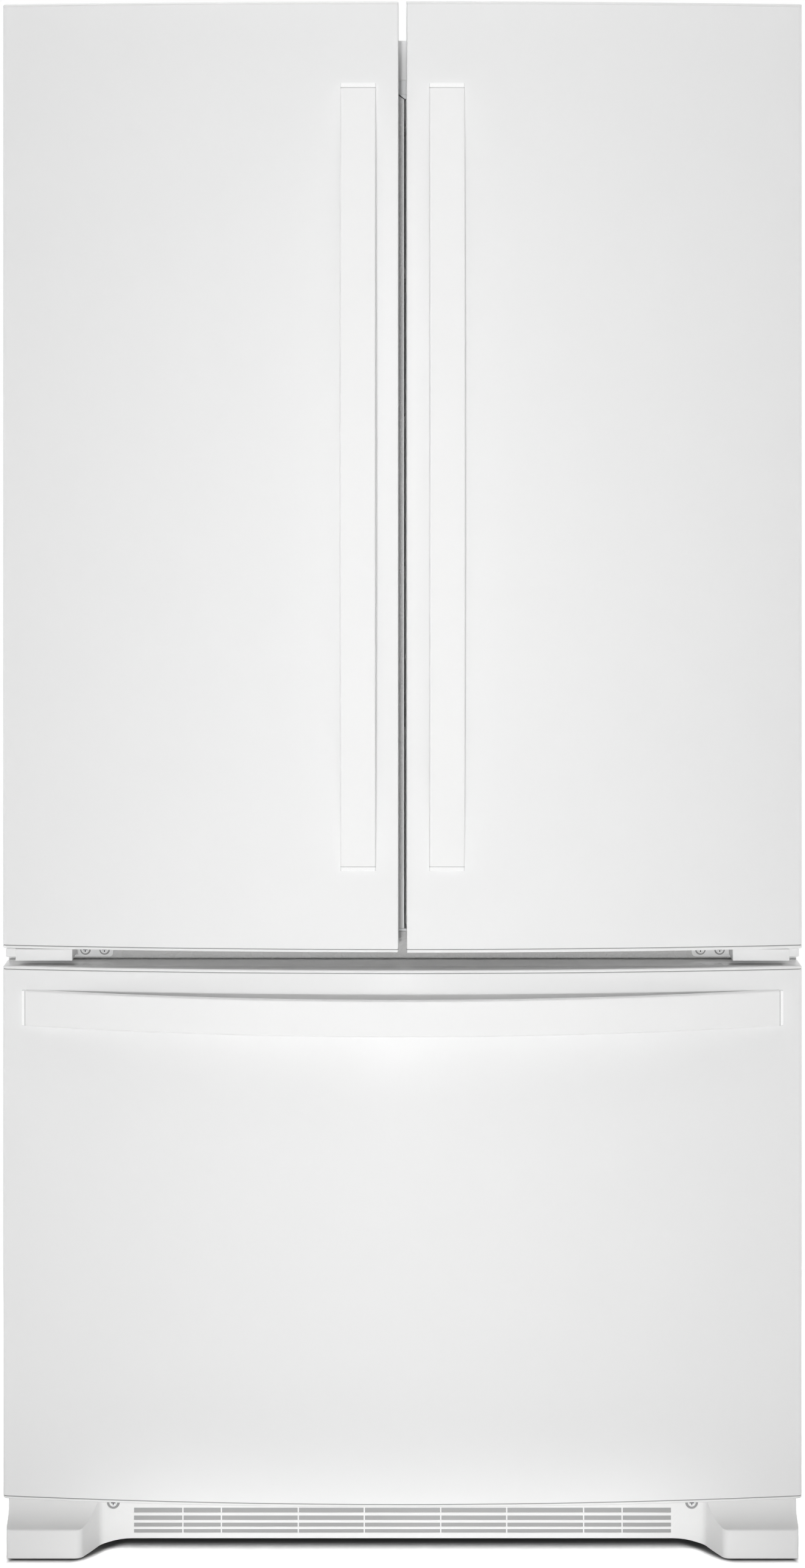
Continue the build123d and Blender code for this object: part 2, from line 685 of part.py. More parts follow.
def arm(width, z):
    """A round-nosed arm that runs from the left pivot back and inward over the cabinet."""
    run = Pos(ARM_LENGTH / 2, 0, 0) * Rectangle(ARM_LENGTH, width) + Circle(width / 2)
    return extrude(Pos(PIVOT_X, PIVOT_Y, z[0]) * Rot(0, 0, ARM_ANGLE) * run, z[1] - z[0])


def top_plate_x():
    return (PIVOT_X + ARM_WIDTH / 2, PIVOT_X + ARM_WIDTH / 2 + TOP_PLATE_WIDTH)


def top_plate_y():
    return (Y_CABINET + COVER_WALL, Y_CABINET + COVER_WALL + TOP_PLATE_DEPTH)


def top_hinge():
    z = (CABINET_TOP, CABINET_TOP + HINGE_PLATE)
    plate = block(top_plate_x(), top_plate_y(), z) + arm(ARM_WIDTH, z)
    low = CABINET_TOP - HINGE_PLATE - PIN_REACH
    return plate + rod(PIN_RADIUS, (PIVOT_X, PIVOT_Y, low), (PIVOT_X, PIVOT_Y, z[0]))


def hinge_cover():
    z = (CABINET_TOP, CABINET_TOP + COVER_HEIGHT)
    x = inset_span(top_plate_x(), -COVER_WALL - FIT)
    y = inset_span(top_plate_y(), -COVER_WALL)
    nose_top = CABINET_TOP + COVER_HEIGHT / 2
    shell = block(x, y, z) + arm(ARM_WIDTH + 2 * FIT, (CABINET_TOP + HINGE_PLATE, nose_top))
    hollow_z = (z[0] - BEYOND, z[1] - COVER_WALL)
    hollow = block(inset_span(x, COVER_WALL), inset_span(y, COVER_WALL), hollow_z)
    nose_hollow = arm(ARM_WIDTH + 2 * FIT - 2 * COVER_WALL, (z[0], nose_top - COVER_WALL))
    slot = arm(ARM_WIDTH + 2 * FIT, (z[0] - BEYOND, z[0] + HINGE_PLATE + FIT))
    return shell - hollow - nose_hollow - slot


def centre_hinge():
    top = hinge_top()
    front = Y_DOOR_EDGE + CENTRE_BOX_SETBACK
    x = (-HALF + CENTRE_BOX_INSET, -HALF + CENTRE_BOX_INSET + CENTRE_BOX_WIDTH)
    hinge = block(x, (front, Y_CABINET), (top - HINGE_PLATE, top))
    hinge += block(x, (front, front + CENTRE_LIP), (top - CENTRE_BOX_HEIGHT, top))
    for cheek in ((x[0], x[0] + CENTRE_LIP), (x[1] - CENTRE_LIP, x[1])):
        hinge += block(cheek, (front, Y_CABINET), (top - CENTRE_BOX_HEIGHT, top))
    flange_z = (DRAWER_TOP + FLANGE_ABOVE_DRAWER, top)
    flange = block(flange_x(), (Y_CABINET - FLANGE_PLATE, Y_CABINET), flange_z)
    corners = flange.edges().filter_by(Axis.Y).sort_by(Axis.X)[2:]
    hinge += fillet(corners, FLANGE_CORNER)
    level = hinge_screw_z()
    for screw_x in hinge_screw_xs():
        start = (-screw_x, Y_CABINET - FLANGE_PLATE - BEYOND, level)
        hinge -= rod(SCREW_SHANK + RUNNING_FIT, start, (-screw_x, Y_CABINET + BEYOND, level))
    pin_top = top + DOOR_LIFT + PIN_REACH
    return hinge + rod(PIN_RADIUS, (PIVOT_X, PIVOT_Y, top), (PIVOT_X, PIVOT_Y, pin_top))


# Upper doors, modelled for the left side and mirrored for the right
DOOR_ROUNDS = (OUTER_ROUND, MEETING_ROUND)
POCKET_LOW = CABINET_TOP - HINGE_PLATE
POCKET_X = (-HALF - BEYOND, -HALF + POCKET_WIDTH)
POCKET_Y = (PIVOT_Y - ARM_WIDTH / 2 - HINGE_SWING_ROOM, Y_DOOR_BACK + BEYOND)
CAP_Z = (DOOR_BOTTOM + CAP, HEIGHT - CAP)


def pivot_boss(z, radius):
    return rod(radius, (PIVOT_X, PIVOT_Y, z[0]), (PIVOT_X, PIVOT_Y, z[1]))


def pocket():
    """The notch at the top rear corner that the hinge arm swings in."""
    return block(POCKET_X, POCKET_Y, (POCKET_LOW, HEIGHT + BEYOND))


def pocket_walls():
    x = (-HALF, POCKET_X[1] + POCKET_WALL)
    y = (POCKET_Y[0] - POCKET_WALL, Y_DOOR_BACK)
    return block(x, y, (POCKET_LOW - POCKET_FLOOR, HEIGHT - CAP))


TOP_BOSS_Z = (POCKET_LOW - PIN_REACH - END_ROOM, POCKET_LOW)
BOTTOM_BOSS_Z = (DOOR_BOTTOM, DOOR_BOTTOM + PIN_REACH + END_ROOM)


def door_skin():
    outside = front_prism(LEFT_DOOR_X, CAP_Z, DOOR_ROUNDS)
    inside = front_prism(LEFT_DOOR_X, CAP_Z, DOOR_ROUNDS, SKIN, Y_DOOR_BACK + BEYOND)
    return outside - inside - pocket_walls()


def door_caps():
    top = front_prism(LEFT_DOOR_X, (CAP_Z[1], HEIGHT), DOOR_ROUNDS)
    top += pocket_walls() + pivot_boss(TOP_BOSS_Z, PIN_RADIUS + BOSS_WALL)
    top -= pocket()
    top -= pivot_boss(TOP_BOSS_Z, PIN_RADIUS + RUNNING_FIT)
    bottom = front_prism(LEFT_DOOR_X, (DOOR_BOTTOM, CAP_Z[0]), DOOR_ROUNDS)
    bottom += pivot_boss(BOTTOM_BOSS_Z, PIN_RADIUS + BOSS_WALL)
    return [top, bottom - pivot_boss(BOTTOM_BOSS_Z, PIN_RADIUS + RUNNING_FIT)]


def door_foam():
    foam = front_prism(LEFT_DOOR_X, CAP_Z, DOOR_ROUNDS, SKIN, Y_DOOR_BACK - LINER_PLATE)
    for boss_z in (TOP_BOSS_Z, BOTTOM_BOSS_Z):
        foam -= pivot_boss(boss_z, PIN_RADIUS + BOSS_WALL)
    return foam - pocket_walls()


def door_dike_x():
    return (-LINER_X + DIKE_INSET, -MULLION_LEFT - DIKE_INSET - END_ROOM)


def door_dike_z():
    return inset_span((FRESH_FLOOR, FRESH_TOP), DIKE_SILL)


def bin_levels():
    """The bins share the height inside the dike."""
    low, high = inset_span(door_dike_z(), DIKE_WALL)
    pitch = (high - low - BIN_RAISE) / BINS
    return [low + BIN_RAISE + pitch * number for number in range(BINS)]


def door_liner(with_mullion):
    x = inset_span(LEFT_DOOR_X, SKIN)
    liner = block(x, (Y_DOOR_BACK - LINER_PLATE, Y_DOOR_BACK), CAP_Z) - pocket_walls()
    dike_x = door_dike_x()
    liner += ring(dike_x, (Y_DOOR_BACK, Y_DIKE), door_dike_z(), DIKE_WALL)
    lug_y = (Y_DOOR_BACK, Y_DOOR_BACK + BIN_LUG_DEPTH)
    for level in bin_levels():
        for wall_x in inset_span(dike_x, DIKE_WALL):
            inward = BIN_LUG if wall_x < sum(dike_x) / 2 else -BIN_LUG
            lug_x = sorted((wall_x, wall_x + inward))
            liner += block(lug_x, lug_y, (level - BIN_LUG, level - FIT))
    if with_mullion:
        liner += mullion_tabs()
    return liner


def door_gasket():
    x = (PIVOT_X + GASKET_INSET, LEFT_DOOR_X[1] - GASKET_INSET)
    z = (DOOR_BOTTOM + GASKET_INSET, CABINET_TOP - RAIL_OVERLAP - GASKET_INSET)
    return ring(x, (Y_DOOR_BACK, Y_CABINET - SEAL_CLEARANCE), z, GASKET_WIDTH)


def door_handle():
    start = -DOOR_HANDLE_X - HANDLE_WIDTH / 2
    origin = (start, bow_y(DOOR_HANDLE_X), sum(DOOR_Z) / 2)
    plane = Plane(origin=origin, x_dir=(0, 0, 1), z_dir=(1, 0, 0))
    reach = HANDLE_REACH - HANDLE_BACK_ROUND
    bar = bow_bar(plane, DOOR_HANDLE_LENGTH, HANDLE_WIDTH, reach, HANDLE_END_PROUD, -HANDLE_SINK)
    return bar - front_prism(LEFT_DOOR_X, DOOR_Z, DOOR_ROUNDS)


def door_bins():
    x = inset_span(door_dike_x(), DIKE_WALL + FIT)
    y = (Y_DOOR_BACK, Y_DOOR_BACK + BIN_DEPTH)
    return [tray(x, y, (level, level + BIN_HEIGHT), BIN_WALL) for level in bin_levels()]


# Flip mullion, hinged on the left door
MULLION_Y = (Y_CABINET + SEAL_CLEARANCE, Y_CABINET + SEAL_CLEARANCE + MULLION_THICKNESS)
MULLION_Z = (
    FRESH_FLOOR + MULLION_TAB + 2 * MULLION_TAB_GAP + END_ROOM,
    FRESH_TOP - MULLION_GUIDE_HEIGHT - MULLION_TAB - 2 * MULLION_TAB_GAP - END_ROOM,
)
MULLION_PIVOT = (-MULLION_LEFT + MULLION_PIVOT_IN, sum(MULLION_Y) / 2)


def mullion_pin(low, high, radius):
    return rod(radius, (*MULLION_PIVOT, low), (*MULLION_PIVOT, high))


def mullion_tabs():
    """Two lugs on the door liner that carry the bar's pins."""
    x = (door_dike_x()[1] - BEYOND, MULLION_PIVOT[0] + MULLION_PIVOT_IN)
    y = inset_span(MULLION_Y, MULLION_TAB_GAP)
    low = (MULLION_Z[0] - MULLION_TAB_GAP - MULLION_TAB, MULLION_Z[0] - MULLION_TAB_GAP)
    high = (MULLION_Z[1] + MULLION_TAB_GAP, MULLION_Z[1] + MULLION_TAB_GAP + MULLION_TAB)
    reach = MULLION_PIN_REACH - MULLION_TAB_GAP
    tabs = block(x, y, low) + mullion_pin(low[1], low[1] + reach, MULLION_PIN)
    return tabs + block(x, y, high) + mullion_pin(high[0] - reach, high[0], MULLION_PIN)


def mullion_bar():
    bar = block((-MULLION_LEFT, MULLION_RIGHT), MULLION_Y, MULLION_Z)
    rear_corner = (MULLION_RIGHT, MULLION_Y[1], MULLION_Z[0])
    upright_edges = bar.edges().filter_by(Axis.Z)
    bar = fillet(upright_edges.sort_by_distance(rear_corner)[0], MULLION_ROUND)
    radius = MULLION_PIN + RUNNING_FIT
    bar -= mullion_pin(MULLION_Z[0], MULLION_Z[0] + MULLION_PIN_REACH, radius)
    return bar - mullion_pin(MULLION_Z[1] - MULLION_PIN_REACH, MULLION_Z[1], radius)


# Freezer drawer front
DRAWER_ROUNDS = (OUTER_ROUND, OUTER_ROUND)
DRAWER_CAP_Z = inset_span(DRAWER_Z, CAP)


def drawer_skin():
    outside = front_prism(DRAWER_X, DRAWER_CAP_Z, DRAWER_ROUNDS)
    return outside - front_prism(DRAWER_X, DRAWER_CAP_Z, DRAWER_ROUNDS, SKIN, Y_DOOR_BACK + BEYOND)


def drawer_caps():
    top = front_prism(DRAWER_X, (DRAWER_CAP_Z[1], DRAWER_TOP), DRAWER_ROUNDS)
    return [top, front_prism(DRAWER_X, (DRAWER_BOTTOM, DRAWER_CAP_Z[0]), DRAWER_ROUNDS)]


def drawer_foam():
    return front_prism(DRAWER_X, DRAWER_CAP_Z, DRAWER_ROUNDS, SKIN, Y_DOOR_BACK - LINER_PLATE)


def slide_inner_x():
    return LINER_X - FIXED_SLIDE - 2 * (SLIDE_PLATE + SLIDE_GAP)


def drawer_liner():
    x = inset_span(DRAWER_X, SKIN)
    liner = block(x, (Y_DOOR_BACK - LINER_PLATE, Y_DOOR_BACK), DRAWER_CAP_Z)
    half = slide_inner_x() - BRACKET_PLATE
    dike_z = (FREEZER_FLOOR + DIKE_INSET, FREEZER_TOP - DIKE_INSET)
    return liner + ring((-half, half), (Y_DOOR_BACK, Y_DIKE), dike_z, DIKE_WALL)


def drawer_gasket():
    x = inset_span(DRAWER_X, PIVOT_INSET + GASKET_INSET)
    z = (DECK_TOP + GASKET_INSET, DRAWER_TOP - GASKET_INSET)
    return ring(x, (Y_DOOR_BACK, Y_CABINET - SEAL_CLEARANCE), z, GASKET_WIDTH)


def drawer_handle():
    top = DRAWER_TOP - DRAWER_HANDLE_DROP + HANDLE_WIDTH / 2
    plane = Plane(origin=(0, Y_DOOR_FRONT, top), x_dir=(1, 0, 0), z_dir=(0, 0, -1))
    tip = DRAWER_HANDLE_LENGTH / 2
    fall = bow_y(tip) - Y_DOOR_FRONT
    end = HANDLE_END_PROUD - fall
    bar = bow_bar(plane, DRAWER_HANDLE_LENGTH, HANDLE_WIDTH, HANDLE_REACH, end, -fall - HANDLE_SINK)
    return bar - front_prism(DRAWER_X, DRAWER_Z, DRAWER_ROUNDS)


# Telescopic slides: fixed, middle and moving members side by side, on each side wall
def slide_y():
    return (Y_CABINET + SLIDE_SETBACK, STEP_Y - SLIDE_END_GAP)


def slide_member(order, y):
    """Member 0 is fixed to the liner, 1 is in the middle and 2 is carried by the drawer."""
    outer = LINER_X
    thickness = FIXED_SLIDE
    if order > 0:
        outer -= FIXED_SLIDE + SLIDE_GAP + (order - 1) * (SLIDE_PLATE + SLIDE_GAP)
        thickness = SLIDE_PLATE
    z = inset_span((SLIDE_LEVEL, SLIDE_LEVEL + SLIDE_HEIGHT), order * SLIDE_STEP)
    return block((outer - thickness, outer), y, z)


def drawer_slide():
    member = slide_member(2, (Y_DOOR_BACK, slide_y()[1]))
    x = (slide_inner_x() - BRACKET_PLATE + FIT, slide_inner_x() + BEYOND)
    middle = SLIDE_LEVEL + SLIDE_HEIGHT / 2
    z = (middle - BRACKET_HEIGHT / 2, middle + BRACKET_HEIGHT / 2)
    return member + block(x, (Y_DOOR_BACK, Y_DOOR_BACK + BRACKET_PLATE), z)


def both_sides(shape):
    return [shape, other_side(shape)]


# Freezer baskets
def basket_y():
    return (Y_CABINET + BASKET_SETBACK, STEP_Y - BASKET_END_GAP)


def freezer_basket():
    seat = SLIDE_LEVEL + SLIDE_HEIGHT - 2 * SLIDE_STEP + FIT
    half = slide_inner_x() - BASKET_SIDE_GAP
    rim_half = slide_inner_x() + SLIDE_PLATE - FIT
    z = (FREEZER_FLOOR + BASKET_RISE, seat + BASKET_RIM)
    basket = tray((-half, half), basket_y(), z, BASKET_WALL)
    for side in (-1, 1):
        rim_x = sorted((side * (half - BASKET_WALL), side * rim_half))
        basket += block(rim_x, basket_y(), (seat, z[1]))
    return basket


def upper_basket():
    half = LINER_X - UPPER_SIDE_GAP
    return tray((-half, half), basket_y(), (UPPER_LEVEL, UPPER_LEVEL + UPPER_HEIGHT), BASKET_WALL)


# Shelves and the crisper cover: frames with a rebate that holds a glass pane
def shelf_frame(level, y):
    x = inset_span((-LINER_X, LINER_X), FIT)
    frame = block(x, y, (level, level + SHELF_THICKNESS))
    hole = inset_span(x, SHELF_RIM), inset_span(y, SHELF_RIM)
    rebate = inset_span(x, SHELF_REBATE), inset_span(y, SHELF_REBATE)
    frame -= block(*hole, (level - BEYOND, level + SHELF_THICKNESS + BEYOND))
    return frame - block(*rebate, (level + SHELF_THICKNESS - PANE, level + SHELF_THICKNESS + BEYOND))


def shelf_pane(level, y):
    x = inset_span((-LINER_X, LINER_X), FIT)
    pane_z = (level + SHELF_THICKNESS - PANE, level + SHELF_THICKNESS)
    return block(inset_span(x, SHELF_REBATE + FIT), inset_span(y, SHELF_REBATE + FIT), pane_z)


def cover_y():
    return (crisper_y()[0] - END_ROOM, shelf_y()[1])


def crisper_divider():
    """The wall between the crispers that carries the middle of their cover."""
    x = inset_span((-CRISPER_MIDDLE_GAP, CRISPER_MIDDLE_GAP), CRISPER_MIDDLE_GAP / 2)
    return block(x, cover_y(), (FRESH_FLOOR, crisper_cover_level()))


def shelf_frames():
    frames = [shelf_frame(level, shelf_y()) for level in shelf_levels()]
    return frames + [shelf_frame(crisper_cover_level(), cover_y())]


def shelf_panes():
    panes = [shelf_pane(level, shelf_y()) for level in shelf_levels()]
    return panes + [shelf_pane(crisper_cover_level(), cover_y())]


def crisper():
    x = crisper_x()
    y = crisper_y()
    z = (crisper_floor(), crisper_floor() + CRISPER_HEIGHT)
    box = tray(x, y, z, CRISPER_WALL)
    grip_z = (z[1] - CRISPER_GRIP, z[1])
    return box + block(x, (y[0] - CRISPER_GRIP, y[0] + CRISPER_WALL), grip_z)


def air_duct():
    x = (-DUCT_WIDTH / 2, DUCT_WIDTH / 2)
    y = (LINER_BACK - DUCT_DEPTH, LINER_BACK)
    z = (crisper_cover_level() + SHELF_THICKNESS, FRESH_TOP - HOUSING_HEIGHT)
    hollow_y = (y[0] + DUCT_WALL, y[1] + BEYOND)
    duct = block(x, y, z) - block(inset_span(x, DUCT_WALL), hollow_y, inset_span(z, DUCT_WALL))
    vent_y = (y[0] - BEYOND, y[0] + DUCT_DEPTH / 2)
    pitch = (z[1] - z[0]) / (DUCT_VENTS + 1)
    for row in range(DUCT_VENTS):
        level = z[0] + pitch * (row + 1)
        duct -= block(inset_span(x, DUCT_DEPTH), vent_y, (level, level + VENT_HEIGHT))
    return duct


def control_housing():
    x = (-HOUSING_WIDTH / 2, HOUSING_WIDTH / 2)
    y = (Y_CABINET + HOUSING_SETBACK, Y_CABINET + HOUSING_SETBACK + HOUSING_DEPTH)
    return block(x, y, (FRESH_TOP - HOUSING_HEIGHT, FRESH_TOP))


def light_lens():
    x = inset_span((-HOUSING_WIDTH / 2, HOUSING_WIDTH / 2), LENS_MARGIN)
    y = (Y_CABINET + HOUSING_SETBACK, Y_CABINET + HOUSING_SETBACK + HOUSING_DEPTH)
    z = (FRESH_TOP - HOUSING_HEIGHT - LENS_HEIGHT, FRESH_TOP - HOUSING_HEIGHT)
    return block(x, inset_span(y, LENS_MARGIN), z)


# Cooling circuit
def fan_motor(foot=0.0):
    """A plate with a round opening and a motor on posts behind it, about the Z axis."""
    opening = FAN_RADIUS + FAN_CLEARANCE
    side = 2 * (opening + FAN_PLATE_MARGIN)
    plate = block((-side / 2, side / 2 + foot), (-side / 2, side / 2), (0, PLATE))
    plate -= rod(opening, (0, 0, -BEYOND), (0, 0, PLATE + BEYOND))
    spider = PLATE + FAN_DEPTH + 2 * FAN_CLEARANCE
    motor = rod(MOTOR_RADIUS, (0, 0, spider), (0, 0, spider + MOTOR_LENGTH))
    for quarter in range(4):
        reach = opening + FAN_POST
        turn = Rot(0, 0, 45 + 90 * quarter)
        motor += turn * block((0, reach), (-FAN_POST, FAN_POST), (spider, spider + FAN_POST))
        motor += turn * rod(FAN_POST, (reach, 0, 0), (reach, 0, spider + FAN_POST))
    bore_end = (0, 0, spider + SHAFT_GRIP + END_ROOM)
    return plate + motor - rod(SHAFT_RADIUS + RUNNING_FIT, (0, 0, spider - BEYOND), bore_end)


def fan_blade():
    low = PLATE + FAN_CLEARANCE
    hub = rod(FAN_HUB, (0, 0, low), (0, 0, low + FAN_DEPTH))
    for number in range(FAN_BLADES):
        leaf = Pos((FAN_RADIUS + FAN_HUB) / 2 - PLATE, 0, low + FAN_DEPTH / 2)
        leaf *= Rot(BLADE_TILT, 0, 0) * Box(FAN_RADIUS - FAN_HUB + PLATE, FAN_DEPTH, PLATE)
        hub += Rot(0, 0, number * 360 / FAN_BLADES) * leaf
    spider = PLATE + FAN_DEPTH + 2 * FAN_CLEARANCE
    return hub + rod(SHAFT_RADIUS, (0, 0, low), (0, 0, spider + SHAFT_GRIP))


def evaporator_y():
    return LINER_BACK - EVAPORATOR_BAY


def evaporator_fan_place():
    opening = FAN_RADIUS + FAN_CLEARANCE + FAN_PLATE_MARGIN
    return Pos(0, evaporator_y(), FREEZER_TOP - opening - LINER) * Rot(-90, 0, 0)


def evaporator_cover():
    x = inset_span((-LINER_X, LINER_X), FIT)
    cover = block(x, (evaporator_y() - LINER, evaporator_y()), (STEP_Z, FREEZER_TOP))
    fan_hole = evaporator_fan_place() * rod(FAN_RADIUS, (0, 0, -LINER - BEYOND), (0, 0, BEYOND))
    return cover - fan_hole


def finned_coil(x, y, z, fins):
    """Upright fins on straight tubes that run across them."""
    pitch = (x[1] - x[0] - FIN) / (fins - 1)
    coil = block((x[0], x[0] + FIN), y, z)
    for number in range(1, fins):
        low = x[0] + number * pitch
        coil += block((low, low + FIN), y, z)
    start, end = inset_span(x, -TUBE_RADIUS)
    for tube_y in inset_span(y, TUBE_INSET_Y):
        for tube_z in inset_span(z, TUBE_INSET_Z):
            coil += rod(TUBE_RADIUS, (start, tube_y, tube_z), (end, tube_y, tube_z))
    return coil


def evaporator():
    x = (-EVAPORATOR_WIDTH / 2, EVAPORATOR_WIDTH / 2)
    y = (LINER_BACK - EVAPORATOR_DEPTH - FIT, LINER_BACK - FIT)
    return finned_coil(x, y, (STEP_Z, STEP_Z + EVAPORATOR_HEIGHT), EVAPORATOR_FINS)


def machine_floor():
    return WRAPPER_BOTTOM + PLATE


def machine_middle_y():
    return (MACHINE_Y + Y_BACK - PLATE) / 2


def drain_pan():
    x = (CONDENSER_X - CONDENSER_WIDTH / 2, CONDENSER_X + CONDENSER_WIDTH / 2)
    middle = machine_middle_y()
    y = (middle - CONDENSER_DEPTH / 2, middle + CONDENSER_DEPTH / 2)
    margin = -2 * TUBE_RADIUS
    z = (machine_floor(), machine_floor() + PAN_HEIGHT)
    return tray(inset_span(x, margin), inset_span(y, margin), z, PAN_WALL)


def condenser():
    x = (CONDENSER_X - CONDENSER_WIDTH / 2, CONDENSER_X + CONDENSER_WIDTH / 2)
    middle = machine_middle_y()
    y = (middle - CONDENSER_DEPTH / 2, middle + CONDENSER_DEPTH / 2)
    low = machine_floor() + PAN_WALL
    return finned_coil(x, y, (low, low + CONDENSER_HEIGHT), CONDENSER_FINS)


def condenser_fan_place():
    opening = FAN_RADIUS + FAN_CLEARANCE + FAN_PLATE_MARGIN
    return Pos(0, machine_middle_y(), machine_floor() + opening + PLATE) * Rot(0, 90, 0)


def compressor():
    place = (COMPRESSOR_X, machine_middle_y())
    low = machine_floor() + COMPRESSOR_FOOT
    shell = rod(COMPRESSOR_RADIUS, (*place, low), (*place, low + COMPRESSOR_HEIGHT))
    rims = shell.edges().filter_by(GeomType.CIRCLE)
    shell = fillet(rims, COMPRESSOR_ROUND)
    foot_x = COMPRESSOR_RADIUS + COMPRESSOR_FOOT
    foot_y = COMPRESSOR_BASE_DEPTH / 2
    base_x = (place[0] - foot_x, place[0] + foot_x)
    base_y = (place[1] - foot_y, place[1] + foot_y)
    shell += block(base_x, base_y, (low, low + LINER))
    for side in (-1, 1):
        for end in (-1, 1):
            x = place[0] + side * (foot_x - COMPRESSOR_FOOT)
            y = place[1] + end * (foot_y - COMPRESSOR_FOOT)
            shell += rod(COMPRESSOR_FOOT, (x, y, machine_floor()), (x, y, low + LINER))
    return shell


# Every piece is written to its own file
os.makedirs("parts", exist_ok=True)

save("cabinet_wrapper", cabinet_wrapper())
save("rear_panel", rear_panel())
save("cabinet_foam", cabinet_foam())
save("fresh_food_liner", fresh_food_liner())
save("freezer_liner", freezer_liner())
save("centre_rail", centre_rail())
save("base_frame", base_frame())
save("machine_cover", machine_cover())
save("toe_grille", toe_grille())
save("cabinet_screws", *cabinet_screws())
save("left_levelling_leg", levelling_leg(-1))
save("right_levelling_leg", levelling_leg(1))
save("left_rear_roller", rear_roller(-1))
save("right_rear_roller", rear_roller(1))

save("compressor", compressor())
save("condenser", condenser())
save("drain_pan", drain_pan())
save("condenser_fan_motor", condenser_fan_place() * fan_motor(PLATE))
save("condenser_fan_blade", condenser_fan_place() * fan_blade())
save("evaporator", evaporator())
save("evaporator_cover", evaporator_cover())
save("evaporator_fan_motor", evaporator_fan_place() * fan_motor())
save("evaporator_fan_blade", evaporator_fan_place() * fan_blade())

save("air_duct", air_duct())
save("control_housing", control_housing())
save("light_lens", light_lens())
save("shelf_frames", *shelf_frames())
save("shelf_panes", *shelf_panes())
save("crisper_divider", crisper_divider())
save("left_crisper", crisper())
save("right_crisper", other_side(crisper()))

save("top_hinges", *both_sides(top_hinge()))
save("hinge_covers", *both_sides(hinge_cover()))
save("centre_hinges", *both_sides(centre_hinge()))

save("left_door_skin", door_skin())
save("left_door_foam", door_foam())
save("left_door_liner", door_liner(True))
save("left_door_gasket", door_gasket())
save("left_door_handle", door_handle())
save("left_door_caps", *door_caps())
save("left_door_bins", *door_bins())
save("mullion_bar", mullion_bar())
save("right_door_skin", other_side(door_skin()))
save("right_door_foam", other_side(door_foam()))
save("right_door_liner", other_side(door_liner(False)))
save("right_door_gasket", other_side(door_gasket()))
save("right_door_handle", other_side(door_handle()))
save("right_door_caps", *[other_side(cap) for cap in door_caps()])
save("right_door_bins", *[other_side(door_bin) for door_bin in door_bins()])

save("drawer_skin", drawer_skin())
save("drawer_foam", drawer_foam())
save("drawer_liner", drawer_liner())
save("drawer_gasket", drawer_gasket())
save("drawer_handle", drawer_handle())
save("drawer_caps", *drawer_caps())
save("fixed_slides", *both_sides(slide_member(0, slide_y())))
save("middle_slides", *both_sides(slide_member(1, slide_y())))
save("drawer_slides", *both_sides(drawer_slide()))
save("freezer_basket", freezer_basket())
save("upper_basket", upper_basket())
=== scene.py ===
import json
import math

import bmesh
import bpy
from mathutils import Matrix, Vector


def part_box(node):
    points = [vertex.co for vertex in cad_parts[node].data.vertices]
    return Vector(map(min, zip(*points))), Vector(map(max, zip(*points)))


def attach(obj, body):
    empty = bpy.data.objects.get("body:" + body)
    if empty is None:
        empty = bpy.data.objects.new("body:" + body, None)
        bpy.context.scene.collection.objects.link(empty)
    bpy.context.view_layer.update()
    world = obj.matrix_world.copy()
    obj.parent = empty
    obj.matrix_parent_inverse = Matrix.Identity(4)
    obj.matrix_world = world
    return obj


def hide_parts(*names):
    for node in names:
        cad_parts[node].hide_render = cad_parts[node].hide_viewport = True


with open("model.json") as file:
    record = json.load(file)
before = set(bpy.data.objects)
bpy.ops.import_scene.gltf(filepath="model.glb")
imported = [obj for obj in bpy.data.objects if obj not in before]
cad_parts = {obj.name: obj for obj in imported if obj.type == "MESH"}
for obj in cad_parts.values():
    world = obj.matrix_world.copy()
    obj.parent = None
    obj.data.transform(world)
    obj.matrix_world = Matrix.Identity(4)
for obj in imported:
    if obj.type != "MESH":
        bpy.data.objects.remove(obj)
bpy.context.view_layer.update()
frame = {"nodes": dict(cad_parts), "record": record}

# Sizes in metres, as in the CAD model
BOW = 0.027
SKIN = 0.0012
OUTER_ROUND = 0.006
MEETING_ROUND = 0.002
NOTCH_FRONT = -0.3505
NOTCH_LOW = 1.722
HANDLE_REACH = 0.044
HANDLE_WIDTH = 0.0397
HANDLE_BAR = 0.013
HANDLE_END = 0.008
HANDLE_SINK = 0.004
FRONT_ROUND = 0.002
BACK_ROUND = 0.003
GRILLE_COLUMNS = 0.3082
GRILLE_ROWS = ((0.0404, 0.046), (0.0319, 0.037), (0.0242, 0.0288), (0.0173, 0.0214))
SCREW_HEAD = 0.0045
GRILLE_SCREWS = ((0.332, 0.052),)
HINGE_SCREWS = ((0.342, 0.68675), (0.364, 0.68675))

